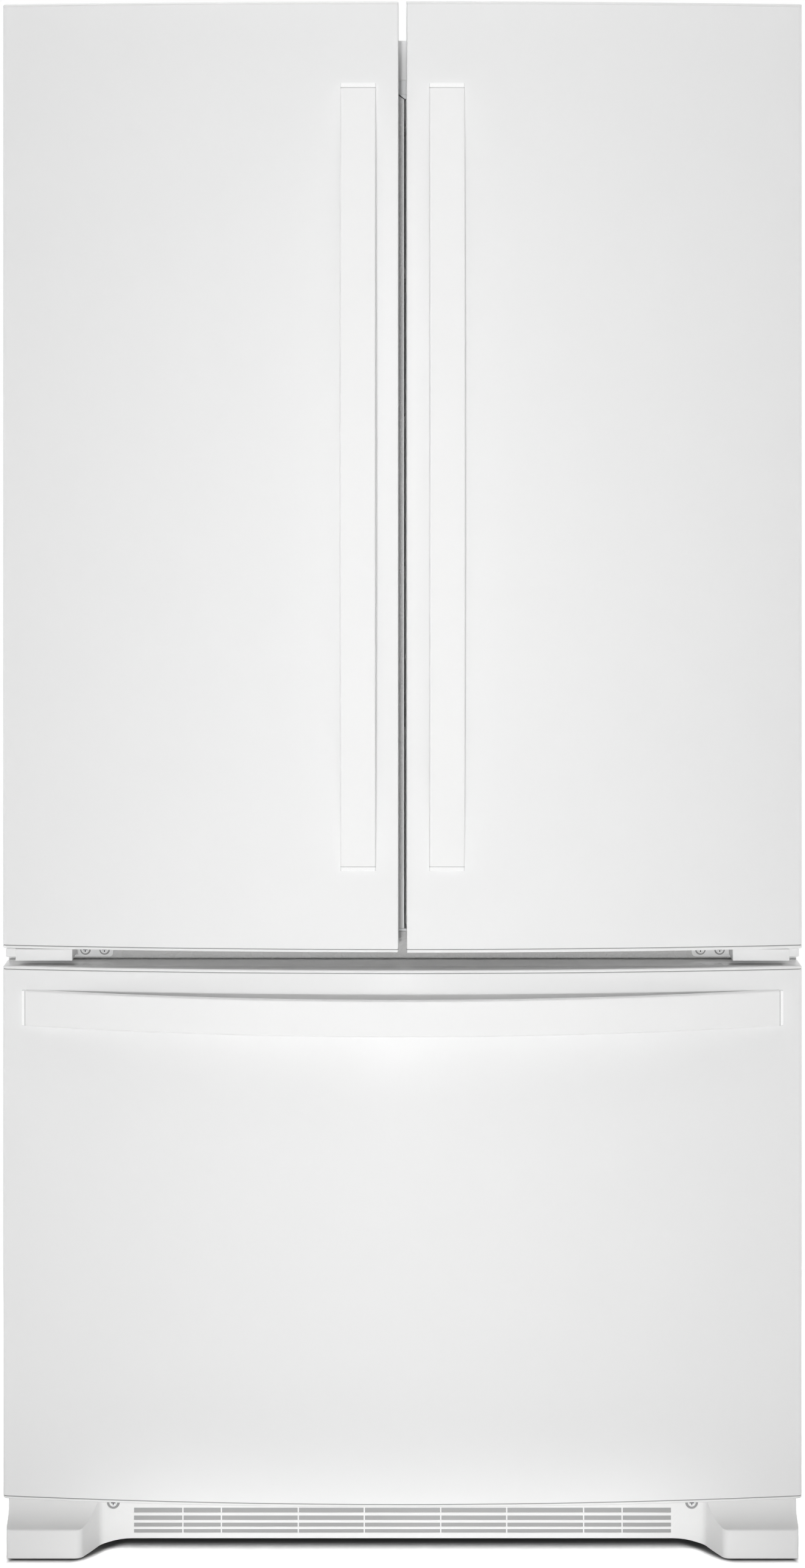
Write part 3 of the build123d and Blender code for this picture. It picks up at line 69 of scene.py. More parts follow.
# Painted and moulded finishes: the darker and the lighter shade, roughness from and to, and the grain's
# cells per metre, strength and depth
FINISHES = {
    "white_enamel": ((0.866, 0.868, 0.868), (0.872, 0.873, 0.872), (0.36, 0.4), (500.0, 0.03, 0.0002)),
    "white_moulding": ((0.89, 0.89, 0.888), (0.9, 0.9, 0.898), (0.14, 0.2), (900.0, 0.02, 0.0002)),
    "handle_white": ((0.9, 0.9, 0.898), (0.908, 0.908, 0.906), (0.32, 0.36), (700.0, 0.02, 0.0002)),
    # A brighter, mirror-like copy of the handle white that paints a highlight on the handles' end facets
    "handle_facet_painted_highlight": ((0.95, 0.95, 0.95), (0.97, 0.97, 0.97), (0.1, 0.14), (700.0, 0.02, 0.0001)),
    # A grey that paints the shade in the creases where the handles' end facets begin
    "handle_crease_painted_shade": ((0.6, 0.6, 0.6), (0.66, 0.66, 0.66), (0.4, 0.5), (700.0, 0.02, 0.0001)),
    "cap_gloss": ((0.87, 0.87, 0.868), (0.88, 0.88, 0.878), (0.05, 0.08), (900.0, 0.01, 0.0001)),
    "liner_white": ((0.81, 0.82, 0.825), (0.84, 0.85, 0.855), (0.3, 0.42), (600.0, 0.06, 0.0002)),
    # The rail's textured paint and the mullion bar's copy below are one paint in two shades, painted darker
    # on the rail and lighter on the mullion for how light falls on each
    "textured_grey": ((0.57, 0.57, 0.568), (0.63, 0.63, 0.627), (0.2, 0.32), (330.0, 0.9, 0.0012)),
    "mullion_grain_painted_lighter": ((0.8, 0.8, 0.797), (0.86, 0.86, 0.857), (0.2, 0.32), (330.0, 0.9, 0.0012)),
    "mullion_end": ((0.84, 0.84, 0.838), (0.87, 0.87, 0.868), (0.45, 0.55), (900.0, 0.05, 0.0002)),
    # A dark grey that paints the shadow inside the seams of the fronts
    "painted_seam_shadow": ((0.28, 0.28, 0.278), (0.34, 0.34, 0.338), (0.5, 0.6), (900.0, 0.1, 0.0002)),
    # A dark grey that paints the shade round screw heads
    "painted_screw_shade": ((0.3, 0.3, 0.3), (0.36, 0.36, 0.36), (0.45, 0.55), (900.0, 0.1, 0.0002)),
    "grille_white": ((0.865, 0.865, 0.861), (0.88, 0.88, 0.876), (0.36, 0.44), (1100.0, 0.1, 0.0002)),
    # A dark grey that paints the shade in the grille's slots
    "slot_blade_painted_shade": ((0.38, 0.38, 0.378), (0.42, 0.42, 0.418), (0.5, 0.6), (1100.0, 0.1, 0.0002)),
    "gasket_grey": ((0.52, 0.52, 0.515), (0.6, 0.6, 0.595), (0.55, 0.7), (800.0, 0.12, 0.0003)),
    "black_steel": ((0.022, 0.022, 0.024), (0.036, 0.036, 0.038), (0.35, 0.5), (700.0, 0.15, 0.0003)),
    "black_plastic": ((0.028, 0.028, 0.03), (0.042, 0.042, 0.045), (0.5, 0.62), (900.0, 0.2, 0.0003)),
    "roller_plastic": ((0.22, 0.22, 0.225), (0.29, 0.29, 0.3), (0.5, 0.62), (700.0, 0.2, 0.0003)),
}
FINISH_SOCKETS = {
    "white_enamel": {"Coat Weight": 0.6, "Coat Roughness": 0.12},
    "handle_facet_painted_highlight": {"Metallic": 0.85},
}

# Clear sheets: the darker and the lighter shade, cover, roughness from and to, and refractive index
CLEAR_SHEETS = {
    "clear_plastic": ((0.86, 0.9, 0.92), (0.91, 0.94, 0.95), 0.42, (0.05, 0.12), 1.49),
    "shelf_glass": ((0.66, 0.84, 0.78), (0.72, 0.87, 0.82), 0.3, (0.01, 0.04), 1.5),
}

# Textures: the part of their range that is spread over a change of shade or gloss, cells per metre, and
# the stretch of a grain that runs along an axis
TEXTURE_LOW = 0.3
TEXTURE_HIGH = 0.7
SHADE_SCALE = 3.0
GLOSS_SCALE = 40.0
ALONG_Z = (1, 1, 0.05)
ALONG_Y = (1, 0.02, 1)

# Meshes: from which angle an edge is sharp, and what counts as flat, as one point and as one level
EDGE_ANGLE = math.radians(35)
FLAT_ANGLE = math.radians(0.2)
MERGE_DISTANCE = 0.00002
LEVEL_SLACK = 0.0001

# Bowed fronts: steps round the outline, the rolled hems of the sheets, and the seams with their strips of
# painted shadow
CORNER_STEPS = 10
BOW_STEPS = 90
HEM = 0.0004
HEM_STEPS = 4
SEAM = 0.001
SEAM_DEPTH = 0.0006

# Each front's left and right corner rounds, and the side of its hinge
FRONTS = {
    "left_door": ((OUTER_ROUND, MEETING_ROUND), -1),
    "right_door": ((MEETING_ROUND, OUTER_ROUND), 1),
    "drawer": ((OUTER_ROUND, OUTER_ROUND), 0),
}

# Bow handles: their sloping ends, painted with a highlight, the lines of painted shade where these begin,
# steps, and limits of a thin section
DOOR_FACET = 0.005
DRAWER_FACET = 0.0036
FACET_SLOPE = 0.4
CREASE = 0.0006
FACET_INDEX = 1
CREASE_SHADE_INDEX = 2
BAR_STEPS = 6
BAR_SPANS = 96
LEAST_BAR = 0.0001
MOST_ROUND = 0.45

# Grille blades, by offsets from the grille's back and from a slot's foot and top
BLADE_FOOT = ((-0.0023, -0.0004), (-0.0017, -0.0008))
BLADE_TOP = ((-0.0001, 0.0002), (-0.0007, 0.0006))

# The mullion bar's ends and the guide above it, by offsets across and up from the bar's right corners and
# back from its front
UPPER_END = ((0.0, -0.002), (0.0, 0.0005), (-0.007, 0.0055))
UPPER_END_DEPTH = (0.0006, 0.006)
LOWER_END = ((0.0, -0.0055), (0.0, 0.054), (-0.0065, 0.048))
LOWER_END_DEPTH = (-0.0002, 0.006)
END_ROUND = 0.0005
GUIDE = ((-0.006, 0.0062), (0.0008, 0.001), (0.01, 0.001), (0.01, 0.0062))
GUIDE_DEPTH = (0.0, 0.006)
GUIDE_ROUND = 0.0003

# The seal lip, by offsets from the gasket and the bar, and of its tip
LIP_INSET = 0.003
LIP_REACH = 0.0013
LIP_FRONT = -0.004
LIP_BACK = -0.0002
LIP_TIP = ((0.001, -0.003), (0.0, -0.0012), (0.0005, LIP_BACK))
LIP_ROUND = 0.0003

# Screws of the cabinet: their seats, the dark rings of painted shade round their heads and the black crosses
# of painted shade in them
RING_STEPS = 24
GRILLE_SEAT = 0.0018
HINGE_SEAT = 0.003
GRILLE_SHADE_RADIUS = 0.0074
HINGE_SHADE_RADIUS = 0.0062
SHADE_RING_LAP = 0.0002
SHADE_RING_RISE = 0.00012
SHADE_RING_SINK = 0.0003
HEAD_RISE = 0.0025
CROSS_ARM = 0.0026
CROSS_HALF = 0.0005
CROSS_RISE = 0.00006
CROSS_SINK = 0.0006

# Hinge wings, by offsets from the centre hinges and by levels
WING_INNER = -0.0088
WING_OUTER = 0.0025
WING_LOW = 0.6848
WING_HIGH = 0.6945
WING_INSET = 0.008
WING_BACK = -0.3061
WING_ROUND = 0.001

# The rear panel's stamped fields
FIELD_COUNT = 3
FIELD_RIM = 0.05
FIELD_SLOPE = 0.002
FIELD_DEPTH = 0.0008
FIELD_STEPS = 5
FIELD_MARGIN = 0.002

# Screws of the machine cover and the hinge covers: places, and rings of radius and height
COVER_SCREW_IN = 0.014
COVER_SCREW_UP = 0.012
COVER_SCREW_MIDDLE = 0.022
WASHER = ((0.006, -0.0002), (0.006, 0.0002), (0.0054, 0.0003))
HEX_HEAD = ((0.004, -0.0002), (0.004, 0.0007), (0.0035, 0.0009))
HEX_STEPS = 6
HINGE_COVER_SCREW = (0.3775, -0.2725)
ROUND_HEAD = ((0.0045, -0.0004), (0.0045, 0.0006), (0.0038, 0.0012), (0.0024, 0.0015))
COVER_CROSS_ARM = 0.0022
COVER_CROSS_HALF = 0.0004
COVER_CROSS_SPAN = (0.0009, 0.00156)

# CAD pieces with rounded edges, and how wide, the finish of one that isn't its slot's, and the rounding
# of the end caps
ROUNDED = {
    "cabinet_wrapper": 0.0006,
    "centre_rail": 0.0008,
    "toe_grille": 0.0003,
    "machine_cover": 0.0003,
    "top_hinges": 0.0006,
    "hinge_covers": 0.0015,
    "centre_hinges": 0.0012,
    "cabinet_screws": 0.0005,
    "fresh_food_liner": 0.0012,
    "freezer_liner": 0.0012,
    "left_door_liner": 0.0012,
    "right_door_liner": 0.0012,
    "drawer_liner": 0.0012,
    "left_door_bins": 0.0009,
    "right_door_bins": 0.0009,
    "left_crisper": 0.0009,
    "right_crisper": 0.0009,
    "shelf_frames": 0.001,
    "shelf_panes": 0.0008,
    "control_housing": 0.003,
    "light_lens": 0.002,
    "air_duct": 0.001,
    "freezer_basket": 0.0009,
    "upper_basket": 0.0009,
    "mullion_bar": 0.001,
    "left_door_gasket": 0.002,
    "right_door_gasket": 0.002,
    "drawer_gasket": 0.002,
    "evaporator_cover": 0.0008,
    "crisper_divider": 0.0008,
    "fixed_slides": 0.0006,
    "middle_slides": 0.0006,
    "drawer_slides": 0.0006,
    "left_rear_roller": 0.0015,
    "right_rear_roller": 0.0015,
    "left_levelling_leg": 0.0008,
    "right_levelling_leg": 0.0008,
    "base_frame": 0.0005,
}
# The mullion bar takes the lighter copy of the rail's textured paint, painted lighter for how light falls in
# the door gap
OWN_FINISH = {"mullion_bar": "mullion_grain_painted_lighter"}
CAP_ROUND = 0.0003
CAP_END_ROUND = 0.0024
END_SEGMENTS = 4

# Floor: its size, the shade of its paper, and the distance over which it turns white
FLOOR_RADIUS = 14.0
FLOOR_SEGMENTS = 64
PAPER_SHADE = 0.9
WHITE_FROM = (0.6, 1.0)

# The contact shadow's edges, each from its first to its last point, and the shades that it goes between
FOOT_EDGE = (0.315, 0.378)
FOOT_FORWARD = 0.054
SHADOW_FRONT = (-0.316, -0.284)
SHADOW_SIDE = (0.44, 0.458)
SHADOW_BACK = (0.4, 0.44)
SHADOW_SHADES = (0.2, 3.2)

# Light from all round, and the key light's width in degrees, strength, place and the point that it faces
AMBIENT = 0.24
KEY_WIDTH = 2.4
KEY_STRENGTH = 1.0
KEY_PLACE = (-0.26, -5.0, 0.12)
KEY_TARGET = (0.0, 0.0, 0.0)

# Panel lamps: size, watts, spread in degrees, place, and the point that each faces
PANELS = {
    "floor_light": ((0.6, 0.6), 30.0, 36.0, (0.0, -2.2, 3.0), (0.0, -2.2, 0.0)),
    "low": ((0.68, 0.1), 0.118, 5.0, (0.0, -3.6, 0.2), (0.0, -0.31, 0.0)),
    "strip": ((0.24, 2.0), 1.42, 23.0, (-0.02, -4.6, 0.84), (-0.02, -0.36, 0.84)),
    "top": ((2.4, 2.4), 28.0, 180.0, (0.0, -0.6, 3.6), (0.0, 0.0, 0.0)),
    "left_side": ((1.0, 2.0), 18.0, 180.0, (-3.0, 0.1, 1.2), (-0.45, 0.0, 0.9)),
    "right_side": ((1.0, 2.0), 18.0, 180.0, (3.0, 0.1, 1.2), (0.45, 0.0, 0.9)),
}

# Camera: its place, and the photograph's scale and framing in pixels
DISTANCE = 3.4
EYE_HEIGHT = 1.325
FRONT_PLANE = -0.358
SENSOR = 36.0
PIXELS_PER_METRE = 1452.0
IMAGE_HEIGHT = 2576
HORIZON_ROW = 646.0


# Materials: colour, gloss and relief come from procedural textures in object space
def shader_of(name, roughness, **sockets):
    material = bpy.data.materials.new(name)
    material.use_nodes = True
    shader = material.node_tree.nodes["Principled BSDF"]
    shader.inputs["Roughness"].default_value = roughness
    for socket, value in sockets.items():
        shader.inputs[socket].default_value = value
    return material, material.node_tree, shader


def noise(tree, scale, stretch=None):
    """A noise texture in object space: scale is in cells per metre."""
    place = tree.nodes.new("ShaderNodeTexCoord").outputs["Object"]
    if stretch:
        mapping = tree.nodes.new("ShaderNodeMapping")
        mapping.inputs["Scale"].default_value = stretch
        tree.links.new(place, mapping.inputs["Vector"])
        place = mapping.outputs["Vector"]
    texture = tree.nodes.new("ShaderNodeTexNoise")
    texture.inputs["Scale"].default_value = scale
    tree.links.new(place, texture.inputs["Vector"])
    return texture.outputs["Fac"]


def cells(tree, scale, output):
    """A cell texture in object space: Distance for foam, Color for the flat crystals of spangle."""
    place = tree.nodes.new("ShaderNodeTexCoord").outputs["Object"]
    texture = tree.nodes.new("ShaderNodeTexVoronoi")
    texture.inputs["Scale"].default_value = scale
    tree.links.new(place, texture.inputs["Vector"])
    return texture.outputs[output]


def tint(tree, shader, value, dark, light):
    ramp = tree.nodes.new("ShaderNodeValToRGB")
    ramp.color_ramp.elements[0].position = TEXTURE_LOW
    ramp.color_ramp.elements[0].color = (*dark, 1)
    ramp.color_ramp.elements[1].position = TEXTURE_HIGH
    ramp.color_ramp.elements[1].color = (*light, 1)
    tree.links.new(value, ramp.inputs["Fac"])
    tree.links.new(ramp.outputs["Color"], shader.inputs["Base Color"])


def gloss(tree, shader, value, low, high):
    spread = tree.nodes.new("ShaderNodeMapRange")
    spread.inputs["From Min"].default_value = TEXTURE_LOW
    spread.inputs["From Max"].default_value = TEXTURE_HIGH
    spread.inputs["To Min"].default_value = low
    spread.inputs["To Max"].default_value = high
    tree.links.new(value, spread.inputs["Value"])
    tree.links.new(spread.outputs["Result"], shader.inputs["Roughness"])


def relief(tree, shader, value, strength, depth):
    bump = tree.nodes.new("ShaderNodeBump")
    bump.inputs["Strength"].default_value = strength
    bump.inputs["Distance"].default_value = depth
    tree.links.new(value, bump.inputs["Height"])
    tree.links.new(bump.outputs["Normal"], shader.inputs["Normal"])


def painted(name, dark, light, roughness, grain):
    """A surface with broad shifts of shade and a fine grain."""
    scale, strength, depth = grain
    material, tree, shader = shader_of(name, roughness[0], **FINISH_SOCKETS.get(name, {}))
    tint(tree, shader, noise(tree, SHADE_SCALE), dark, light)
    gloss(tree, shader, noise(tree, GLOSS_SCALE), *roughness)
    relief(tree, shader, noise(tree, scale), strength, depth)
    return material


def see_through(name, dark, light, cover, roughness, ior):
    """A clear sheet, thin enough to show what is behind it without bending it."""
    material, tree, shader = shader_of(name, roughness[0], IOR=ior, Alpha=cover)
    tint(tree, shader, noise(tree, scale=4.0), dark, light)
    gloss(tree, shader, noise(tree, scale=60.0), *roughness)
    relief(tree, shader, noise(tree, scale=25.0), strength=0.02, depth=0.0005)
    return material


def zinc():
    material, tree, shader = shader_of("zinc_steel", roughness=0.35, Metallic=1.0)
    spangle = cells(tree, scale=90.0, output="Color")
    tint(tree, shader, spangle, dark=(0.575, 0.585, 0.595), light=(0.605, 0.615, 0.625))
    gloss(tree, shader, noise(tree, scale=120.0), low=0.36, high=0.48)
    relief(tree, shader, noise(tree, scale=900.0), strength=0.1, depth=0.0002)
    return material


def fin_metal():
    material, tree, shader = shader_of("fin_metal", roughness=0.35, Metallic=1.0)
    tint(tree, shader, noise(tree, scale=30.0), dark=(0.62, 0.63, 0.64), light=(0.76, 0.77, 0.78))
    gloss(tree, shader, noise(tree, scale=300.0, stretch=ALONG_Z), low=0.28, high=0.45)
    relief(tree, shader, noise(tree, scale=500.0, stretch=ALONG_Z), strength=0.15, depth=0.0003)
    return material


def foam():
    material, tree, shader = shader_of("insulation", roughness=0.9)
    tint(tree, shader, noise(tree, scale=25.0), dark=(0.72, 0.62, 0.36), light=(0.82, 0.73, 0.46))
    relief(tree, shader, cells(tree, scale=400.0, output="Distance"), strength=0.6, depth=0.001)
    return material


def lens():
    material, tree, shader = shader_of("lens", roughness=0.4, **{"IOR": 1.49, "Transmission Weight": 0.35})
    tint(tree, shader, noise(tree, scale=8.0), dark=(0.88, 0.88, 0.85), light=(0.93, 0.93, 0.9))
    relief(tree, shader, noise(tree, scale=250.0, stretch=ALONG_Y), strength=0.5, depth=0.0008)
    return material


materials = {name: painted(name, *finish) for name, finish in FINISHES.items()}
materials.update({name: see_through(name, *sheet) for name, sheet in CLEAR_SHEETS.items()})
materials.update({"zinc_steel": zinc(), "fin_metal": fin_metal(), "insulation": foam(), "lens": lens()})
slot_of = {part["node"]: part["material_slot"] for part in frame["record"]["subparts"]}
body_of = {node: body for body, nodes in frame["record"]["behaviour"]["bodies"].items() for node in nodes}


# Mesh helpers
def new_piece(name, mesh, body, slot, finish=None):
    """Makes an object of a bmesh, smooth but for its sharp edges, that rides on a body."""
    data = bpy.data.meshes.new(name)
    mesh.normal_update()
    mesh.to_mesh(data)
    mesh.free()
    data.shade_smooth()
    data.set_sharp_from_angle(angle=EDGE_ANGLE)
    data.materials.append(materials[finish or slot])
    piece = bpy.data.objects.new(name, data)
    bpy.context.scene.collection.objects.link(piece)
    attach(piece, body)
    return piece


def sharp_edges(mesh):
    return [e for e in mesh.edges if len(e.link_faces) == 2 and e.calc_face_angle() > EDGE_ANGLE]


def is_level(edge, z):
    return all(abs(vertex.co.z - z) < LEVEL_SLACK for vertex in edge.verts)


def round_off(mesh, edges, width, segments=2, material=0):
    bmesh.ops.bevel(
        mesh,
        geom=edges,
        offset=width,
        segments=segments,
        profile=0.5,
        affect="EDGES",
        clamp_overlap=True,
        material=material,
    )


def rounded_copy(node, width, end_width=None, finish=None):
    """A copy of a CAD node with its sharp edges rounded off, those at its top and foot wider if asked for."""
    mesh = bmesh.new()
    mesh.from_mesh(frame["nodes"][node].data)
    bmesh.ops.remove_doubles(mesh, verts=mesh.verts, dist=MERGE_DISTANCE)
    bmesh.ops.dissolve_limit(mesh, angle_limit=FLAT_ANGLE, verts=mesh.verts, edges=mesh.edges)
    if end_width:
        ends = [e for e in sharp_edges(mesh) if any(is_level(e, corner.z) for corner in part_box(node))]
        round_off(mesh, ends, end_width, END_SEGMENTS)
    round_off(mesh, sharp_edges(mesh), width)
    piece = new_piece(node + "_shape", mesh, body_of[node], slot_of[node], finish)
    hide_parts(node)


def join_rows(mesh, here, there):
    """Adds the faces of a closed band between two rows of as many points."""
    count = len(here)
    for index in range(count):
        after = (index + 1) % count
        mesh.faces.new((here[index], there[index], there[after], here[after]))


def prism(mesh, profile, axis, span):
    """Adds a closed prism: profile points in the plane across an axis, run over a span of it."""
    ends = []
    for level in span:
        points = [list(point) for point in profile]
        for point in points:
            point.insert(axis, level)
        ends.append([mesh.verts.new(point) for point in points])
    join_rows(mesh, *ends)
    mesh.faces.new(ends[0])
    mesh.faces.new(list(reversed(ends[1])))


def turn_outward(mesh):
    bmesh.ops.recalc_face_normals(mesh, faces=mesh.faces)


def soften(mesh, width):
    turn_outward(mesh)
    round_off(mesh, sharp_edges(mesh), width)


# Bowed fronts: an outline across the front, with rounded corners, that a sheet follows
def bow_of():
    low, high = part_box("drawer_skin")
    radius = (high.x**2 + BOW**2) / (2 * BOW)
    return radius, low.y + radius


def arc(middle, radius, start, stop, steps):
    """Points and outward normals along an arc, by angles from straight ahead."""
    points = []
    for step in range(steps + 1):
        angle = start + (stop - start) * step / steps
        normal = (math.sin(angle), -math.cos(angle))
        points.append(((middle[0] + radius * normal[0], middle[1] + radius * normal[1]), normal))
    return points


def front_outline(x, rounds, back):
    """Points and outward normals from the back left, round the front, to the back right."""
    radius, centre_y = bow_of()
    middles = []
    turns = []
    for edge, corner, sign in ((x[0], rounds[0], 1), (x[1], rounds[1], -1)):
        middle_x = edge + sign * corner
        middle_y = centre_y - math.sqrt((radius - corner) ** 2 - middle_x**2)
        middles.append((middle_x, middle_y))
        turns.append(math.atan2(middle_x, centre_y - middle_y))
    points = [((x[0], back), (-1, 0))]
    points += arc(middles[0], rounds[0], -math.pi / 2, turns[0], CORNER_STEPS)[:-1]
    points += arc((0.0, centre_y), radius, turns[0], turns[1], BOW_STEPS)
    points += arc(middles[1], rounds[1], turns[1], math.pi / 2, CORNER_STEPS)[1:]
    points.append(((x[1], back), (1, 0)))
    return points


def hem_ring(z, thickness, radius):
    """The closed section of a sheet as offsets inward and levels, with its two ends rolled over."""
    ring = []
    for step in range(HEM_STEPS + 1):
        angle = math.pi / 2 * step / HEM_STEPS
        ring.append((radius * (1 - math.sin(angle)), z[0] + radius * (1 - math.cos(angle))))
    for step in range(HEM_STEPS + 1):
        angle = math.pi / 2 * step / HEM_STEPS
        ring.append((radius * (1 - math.cos(angle)), z[1] - radius * (1 - math.sin(angle))))
    ring.append((thickness, z[1]))
    ring.append((thickness, z[0]))
    return ring


def hinge_first(outline, hinge_side):
    """The outline from its hinge side, with a point where the hinge's notch ends."""
    if hinge_side > 0:
        outline.reverse()
    (edge, _), normal = outline[0]
    outline.insert(1, ((edge, NOTCH_FRONT), normal))
    return outline


def outline_rows(mesh, outline, ring):
    """A row of points at each place of the outline, by offsets inward and levels."""
    rows = []
    for (x, y), (normal_x, normal_y) in outline:
        rows.append([mesh.verts.new((x - normal_x * inset, y - normal_y * inset, z)) for inset, z in ring])
    return rows


def front_sheet(name, node, rounds, hinge_side):
    """The painted sheet round a door or drawer front, cut out at the top where a hinge arm swings."""
    low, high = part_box(node)
    outline = front_outline((low.x, high.x), rounds, high.y)
    top_seam = 0.0 if hinge_side else SEAM
    ring = hem_ring((low.z + SEAM, high.z - top_seam), SKIN, HEM)
    bend = HEM_STEPS + 1
    if hinge_side:
        outline = hinge_first(outline, hinge_side)
        ring.insert(bend, (0.0, NOTCH_LOW))
        ring.insert(len(ring) - 1, (SKIN, NOTCH_LOW))
    mesh = bmesh.new()
    rows = outline_rows(mesh, outline, ring)
    count = len(ring)
    loops = [list(range(count))] * (len(rows) - 1)
    if hinge_side:
        loops[0] = list(range(bend + 1)) + [count - 2, count - 1]
        mesh.faces.new(rows[1][bend : count - 1])
        for vertex in rows[0][bend + 1 : count - 2]:
            mesh.verts.remove(vertex)
    for here, there, loop in zip(rows, rows[1:], loops):
        join_rows(mesh, [here[index] for index in loop], [there[index] for index in loop])
    mesh.faces.new([rows[0][index] for index in loops[0]])
    mesh.faces.new(rows[-1])
    turn_outward(mesh)
    piece = new_piece(name, mesh, body_of[node], slot_of[node])
    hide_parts(node)


def painted_seam_shadows(name, node, rounds, hinge_side):
    """Dark strips that paint the shadow in the joints of a painted sheet with its end caps: below, and on the
    drawer also above.
    """
    low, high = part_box(node)
    outline = front_outline((low.x, high.x), rounds, high.y)
    mesh = bmesh.new()
    levels = [low.z + SEAM / 2]
    if not hinge_side:
        levels.append(high.z - SEAM / 2)
    for level in levels:
        foot, top = level - SEAM, level + SEAM
        ring = ((SEAM_DEPTH, foot), (SEAM_DEPTH, top), (2 * SEAM_DEPTH, top), (2 * SEAM_DEPTH, foot))
        rows = outline_rows(mesh, outline, ring)
        for here, there in zip(rows, rows[1:]):
            join_rows(mesh, here, there)
        mesh.faces.new(rows[0])
        mesh.faces.new(list(reversed(rows[-1])))
    turn_outward(mesh)
    new_piece(name, mesh, body_of[node], "gasket_grey", "painted_seam_shadow")


for front, (rounds, hinge_side) in FRONTS.items():
    front_sheet(front + "_sheet", front + "_skin", rounds, hinge_side)
    painted_seam_shadows(front + "_painted_seam_shadow_strips", front + "_skin", rounds, hinge_side)


# Bow handles: a flat bar along an arc, with rounded edges and sloping ends in a brighter, mirror-like white
# that paints a highlight, with grey creases of painted shade where they begin
def bar_section(low, high):
    """The bar's outline as places across it and outward, from its back round its front."""
    half = HANDLE_WIDTH / 2
    front = min(FRONT_ROUND, MOST_ROUND * (high - low))
    back = min(BACK_ROUND, MOST_ROUND * (high - low))
    turns = [math.pi / 2 * step / BAR_STEPS for step in range(BAR_STEPS + 1)]
    section = [(-half + front * (1 - math.cos(t)), high - front * (1 - math.sin(t))) for t in turns]
    section += [(half - front * (1 - math.sin(t)), high - front * (1 - math.cos(t))) for t in turns]
    section += [(half - back * (1 - math.cos(t)), low + back * (1 - math.sin(t))) for t in turns]
    section += [(-half + back * (1 - math.sin(t)), low + back * (1 - math.cos(t))) for t in turns]
    return section


def bow_handle(name, node, length, facet, middle, end, seat, place):
    """place turns a point along, across and outward of the bar into a point of the frame."""
    tip = length / 2 - facet
    radius = (tip**2 + (middle - end) ** 2) / (2 * (middle - end))
    centre = middle - radius
    facet_end = end - FACET_SLOPE * facet
    stations = [(-length / 2, facet_end)]
    for step in range(BAR_SPANS + 1):
        along = tip * (2 * step / BAR_SPANS - 1)
        stations.append((along, centre + math.sqrt(radius**2 - along**2)))
    stations.append((length / 2, facet_end))
    mesh = bmesh.new()
    rows = []
    for along, high in stations:
        low = max(seat, centre + math.sqrt((radius - HANDLE_BAR) ** 2 - along**2))
        section = bar_section(min(low, high - LEAST_BAR), high)
        rows.append([mesh.verts.new(place(along, across, out)) for across, out in section])
    for here, there in zip(rows, rows[1:]):
        join_rows(mesh, here, there)
    mesh.faces.new(list(reversed(rows[0])))
    mesh.faces.new(rows[-1])
    for vertex in rows[0] + rows[-1]:
        for face in vertex.link_faces:
            face.material_index = FACET_INDEX
    turn_outward(mesh)
    creases = []
    for row in (rows[1], rows[-2]):
        front = row[: 2 * BAR_STEPS + 2]
        creases += [mesh.edges.get(pair) for pair in zip(front, front[1:])]
    round_off(mesh, creases, CREASE, material=CREASE_SHADE_INDEX)
    piece = new_piece(name, mesh, body_of[node], slot_of[node])
    # The end facets take the painted highlight, the creases the painted shade
    piece.data.materials.append(materials["handle_facet_painted_highlight"])
    piece.data.materials.append(materials["handle_crease_painted_shade"])
    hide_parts(node)


def door_handle(node):
    low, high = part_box(node)
    middle = (low + high) / 2
    radius, centre_y = bow_of()
    face = centre_y - math.sqrt(radius**2 - middle.x**2)
    reach = HANDLE_REACH - BACK_ROUND

    def place(along, across, out):
        return (middle.x + across, face - out, middle.z + along)

    bow_handle(node + "_bar", node, high.z - low.z, DOOR_FACET, reach, HANDLE_END, -HANDLE_SINK, place)


def drawer_handle(node):
    low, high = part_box(node)
    middle = (low + high) / 2
    radius, centre_y = bow_of()
    face = centre_y - radius
    fall = radius - math.sqrt(radius**2 - high.x**2)
    end = HANDLE_END - fall
    seat = -fall - HANDLE_SINK

    def place(along, across, out):
        return (along, face - out, middle.z + across)

    bow_handle(node + "_bar", node, high.x - low.x, DRAWER_FACET, HANDLE_REACH, end, seat, place)


door_handle("left_door_handle")
door_handle("right_door_handle")
drawer_handle("drawer_handle")


# Toe grille: slanting blades in its slots, behind the ribs, in a dark grey that paints the shade in the slots
def slot_blades_in_painted_shade():
    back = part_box("toe_grille")[1].y
    mesh = bmesh.new()
    for bottom, top in GRILLE_ROWS:
        section = [(back + y, bottom + z) for y, z in BLADE_FOOT]
        section += [(back + y, top + z) for y, z in BLADE_TOP]
        prism(mesh, section, 0, (-GRILLE_COLUMNS, GRILLE_COLUMNS))
    turn_outward(mesh)
    new_piece("slot_blades_in_painted_shade", mesh, body_of["toe_grille"], "grille_white", "slot_blade_painted_shade")


# Moulded ends that close the mullion bar's gaps to the cabinet, cut on the skew, the fixed guide above it,
# and the seal lip beside it
def mullion_ends():
    low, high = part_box("mullion_bar")
    left = (low.x + high.x) / 2
    mesh = bmesh.new()
    for level, offsets, depths in (
        (high.z, UPPER_END, UPPER_END_DEPTH),
        (low.z, LOWER_END, LOWER_END_DEPTH),
    ):
        points = [(high.x + across, level + rise) for across, rise in offsets]
        profile = [(left, points[0][1]), *points, (left, points[-1][1])]
        prism(mesh, profile, 1, [low.y + depth for depth in depths])
    soften(mesh, END_ROUND)
    new_piece("mullion_ends", mesh, body_of["mullion_bar"], slot_of["mullion_bar"], "mullion_end")


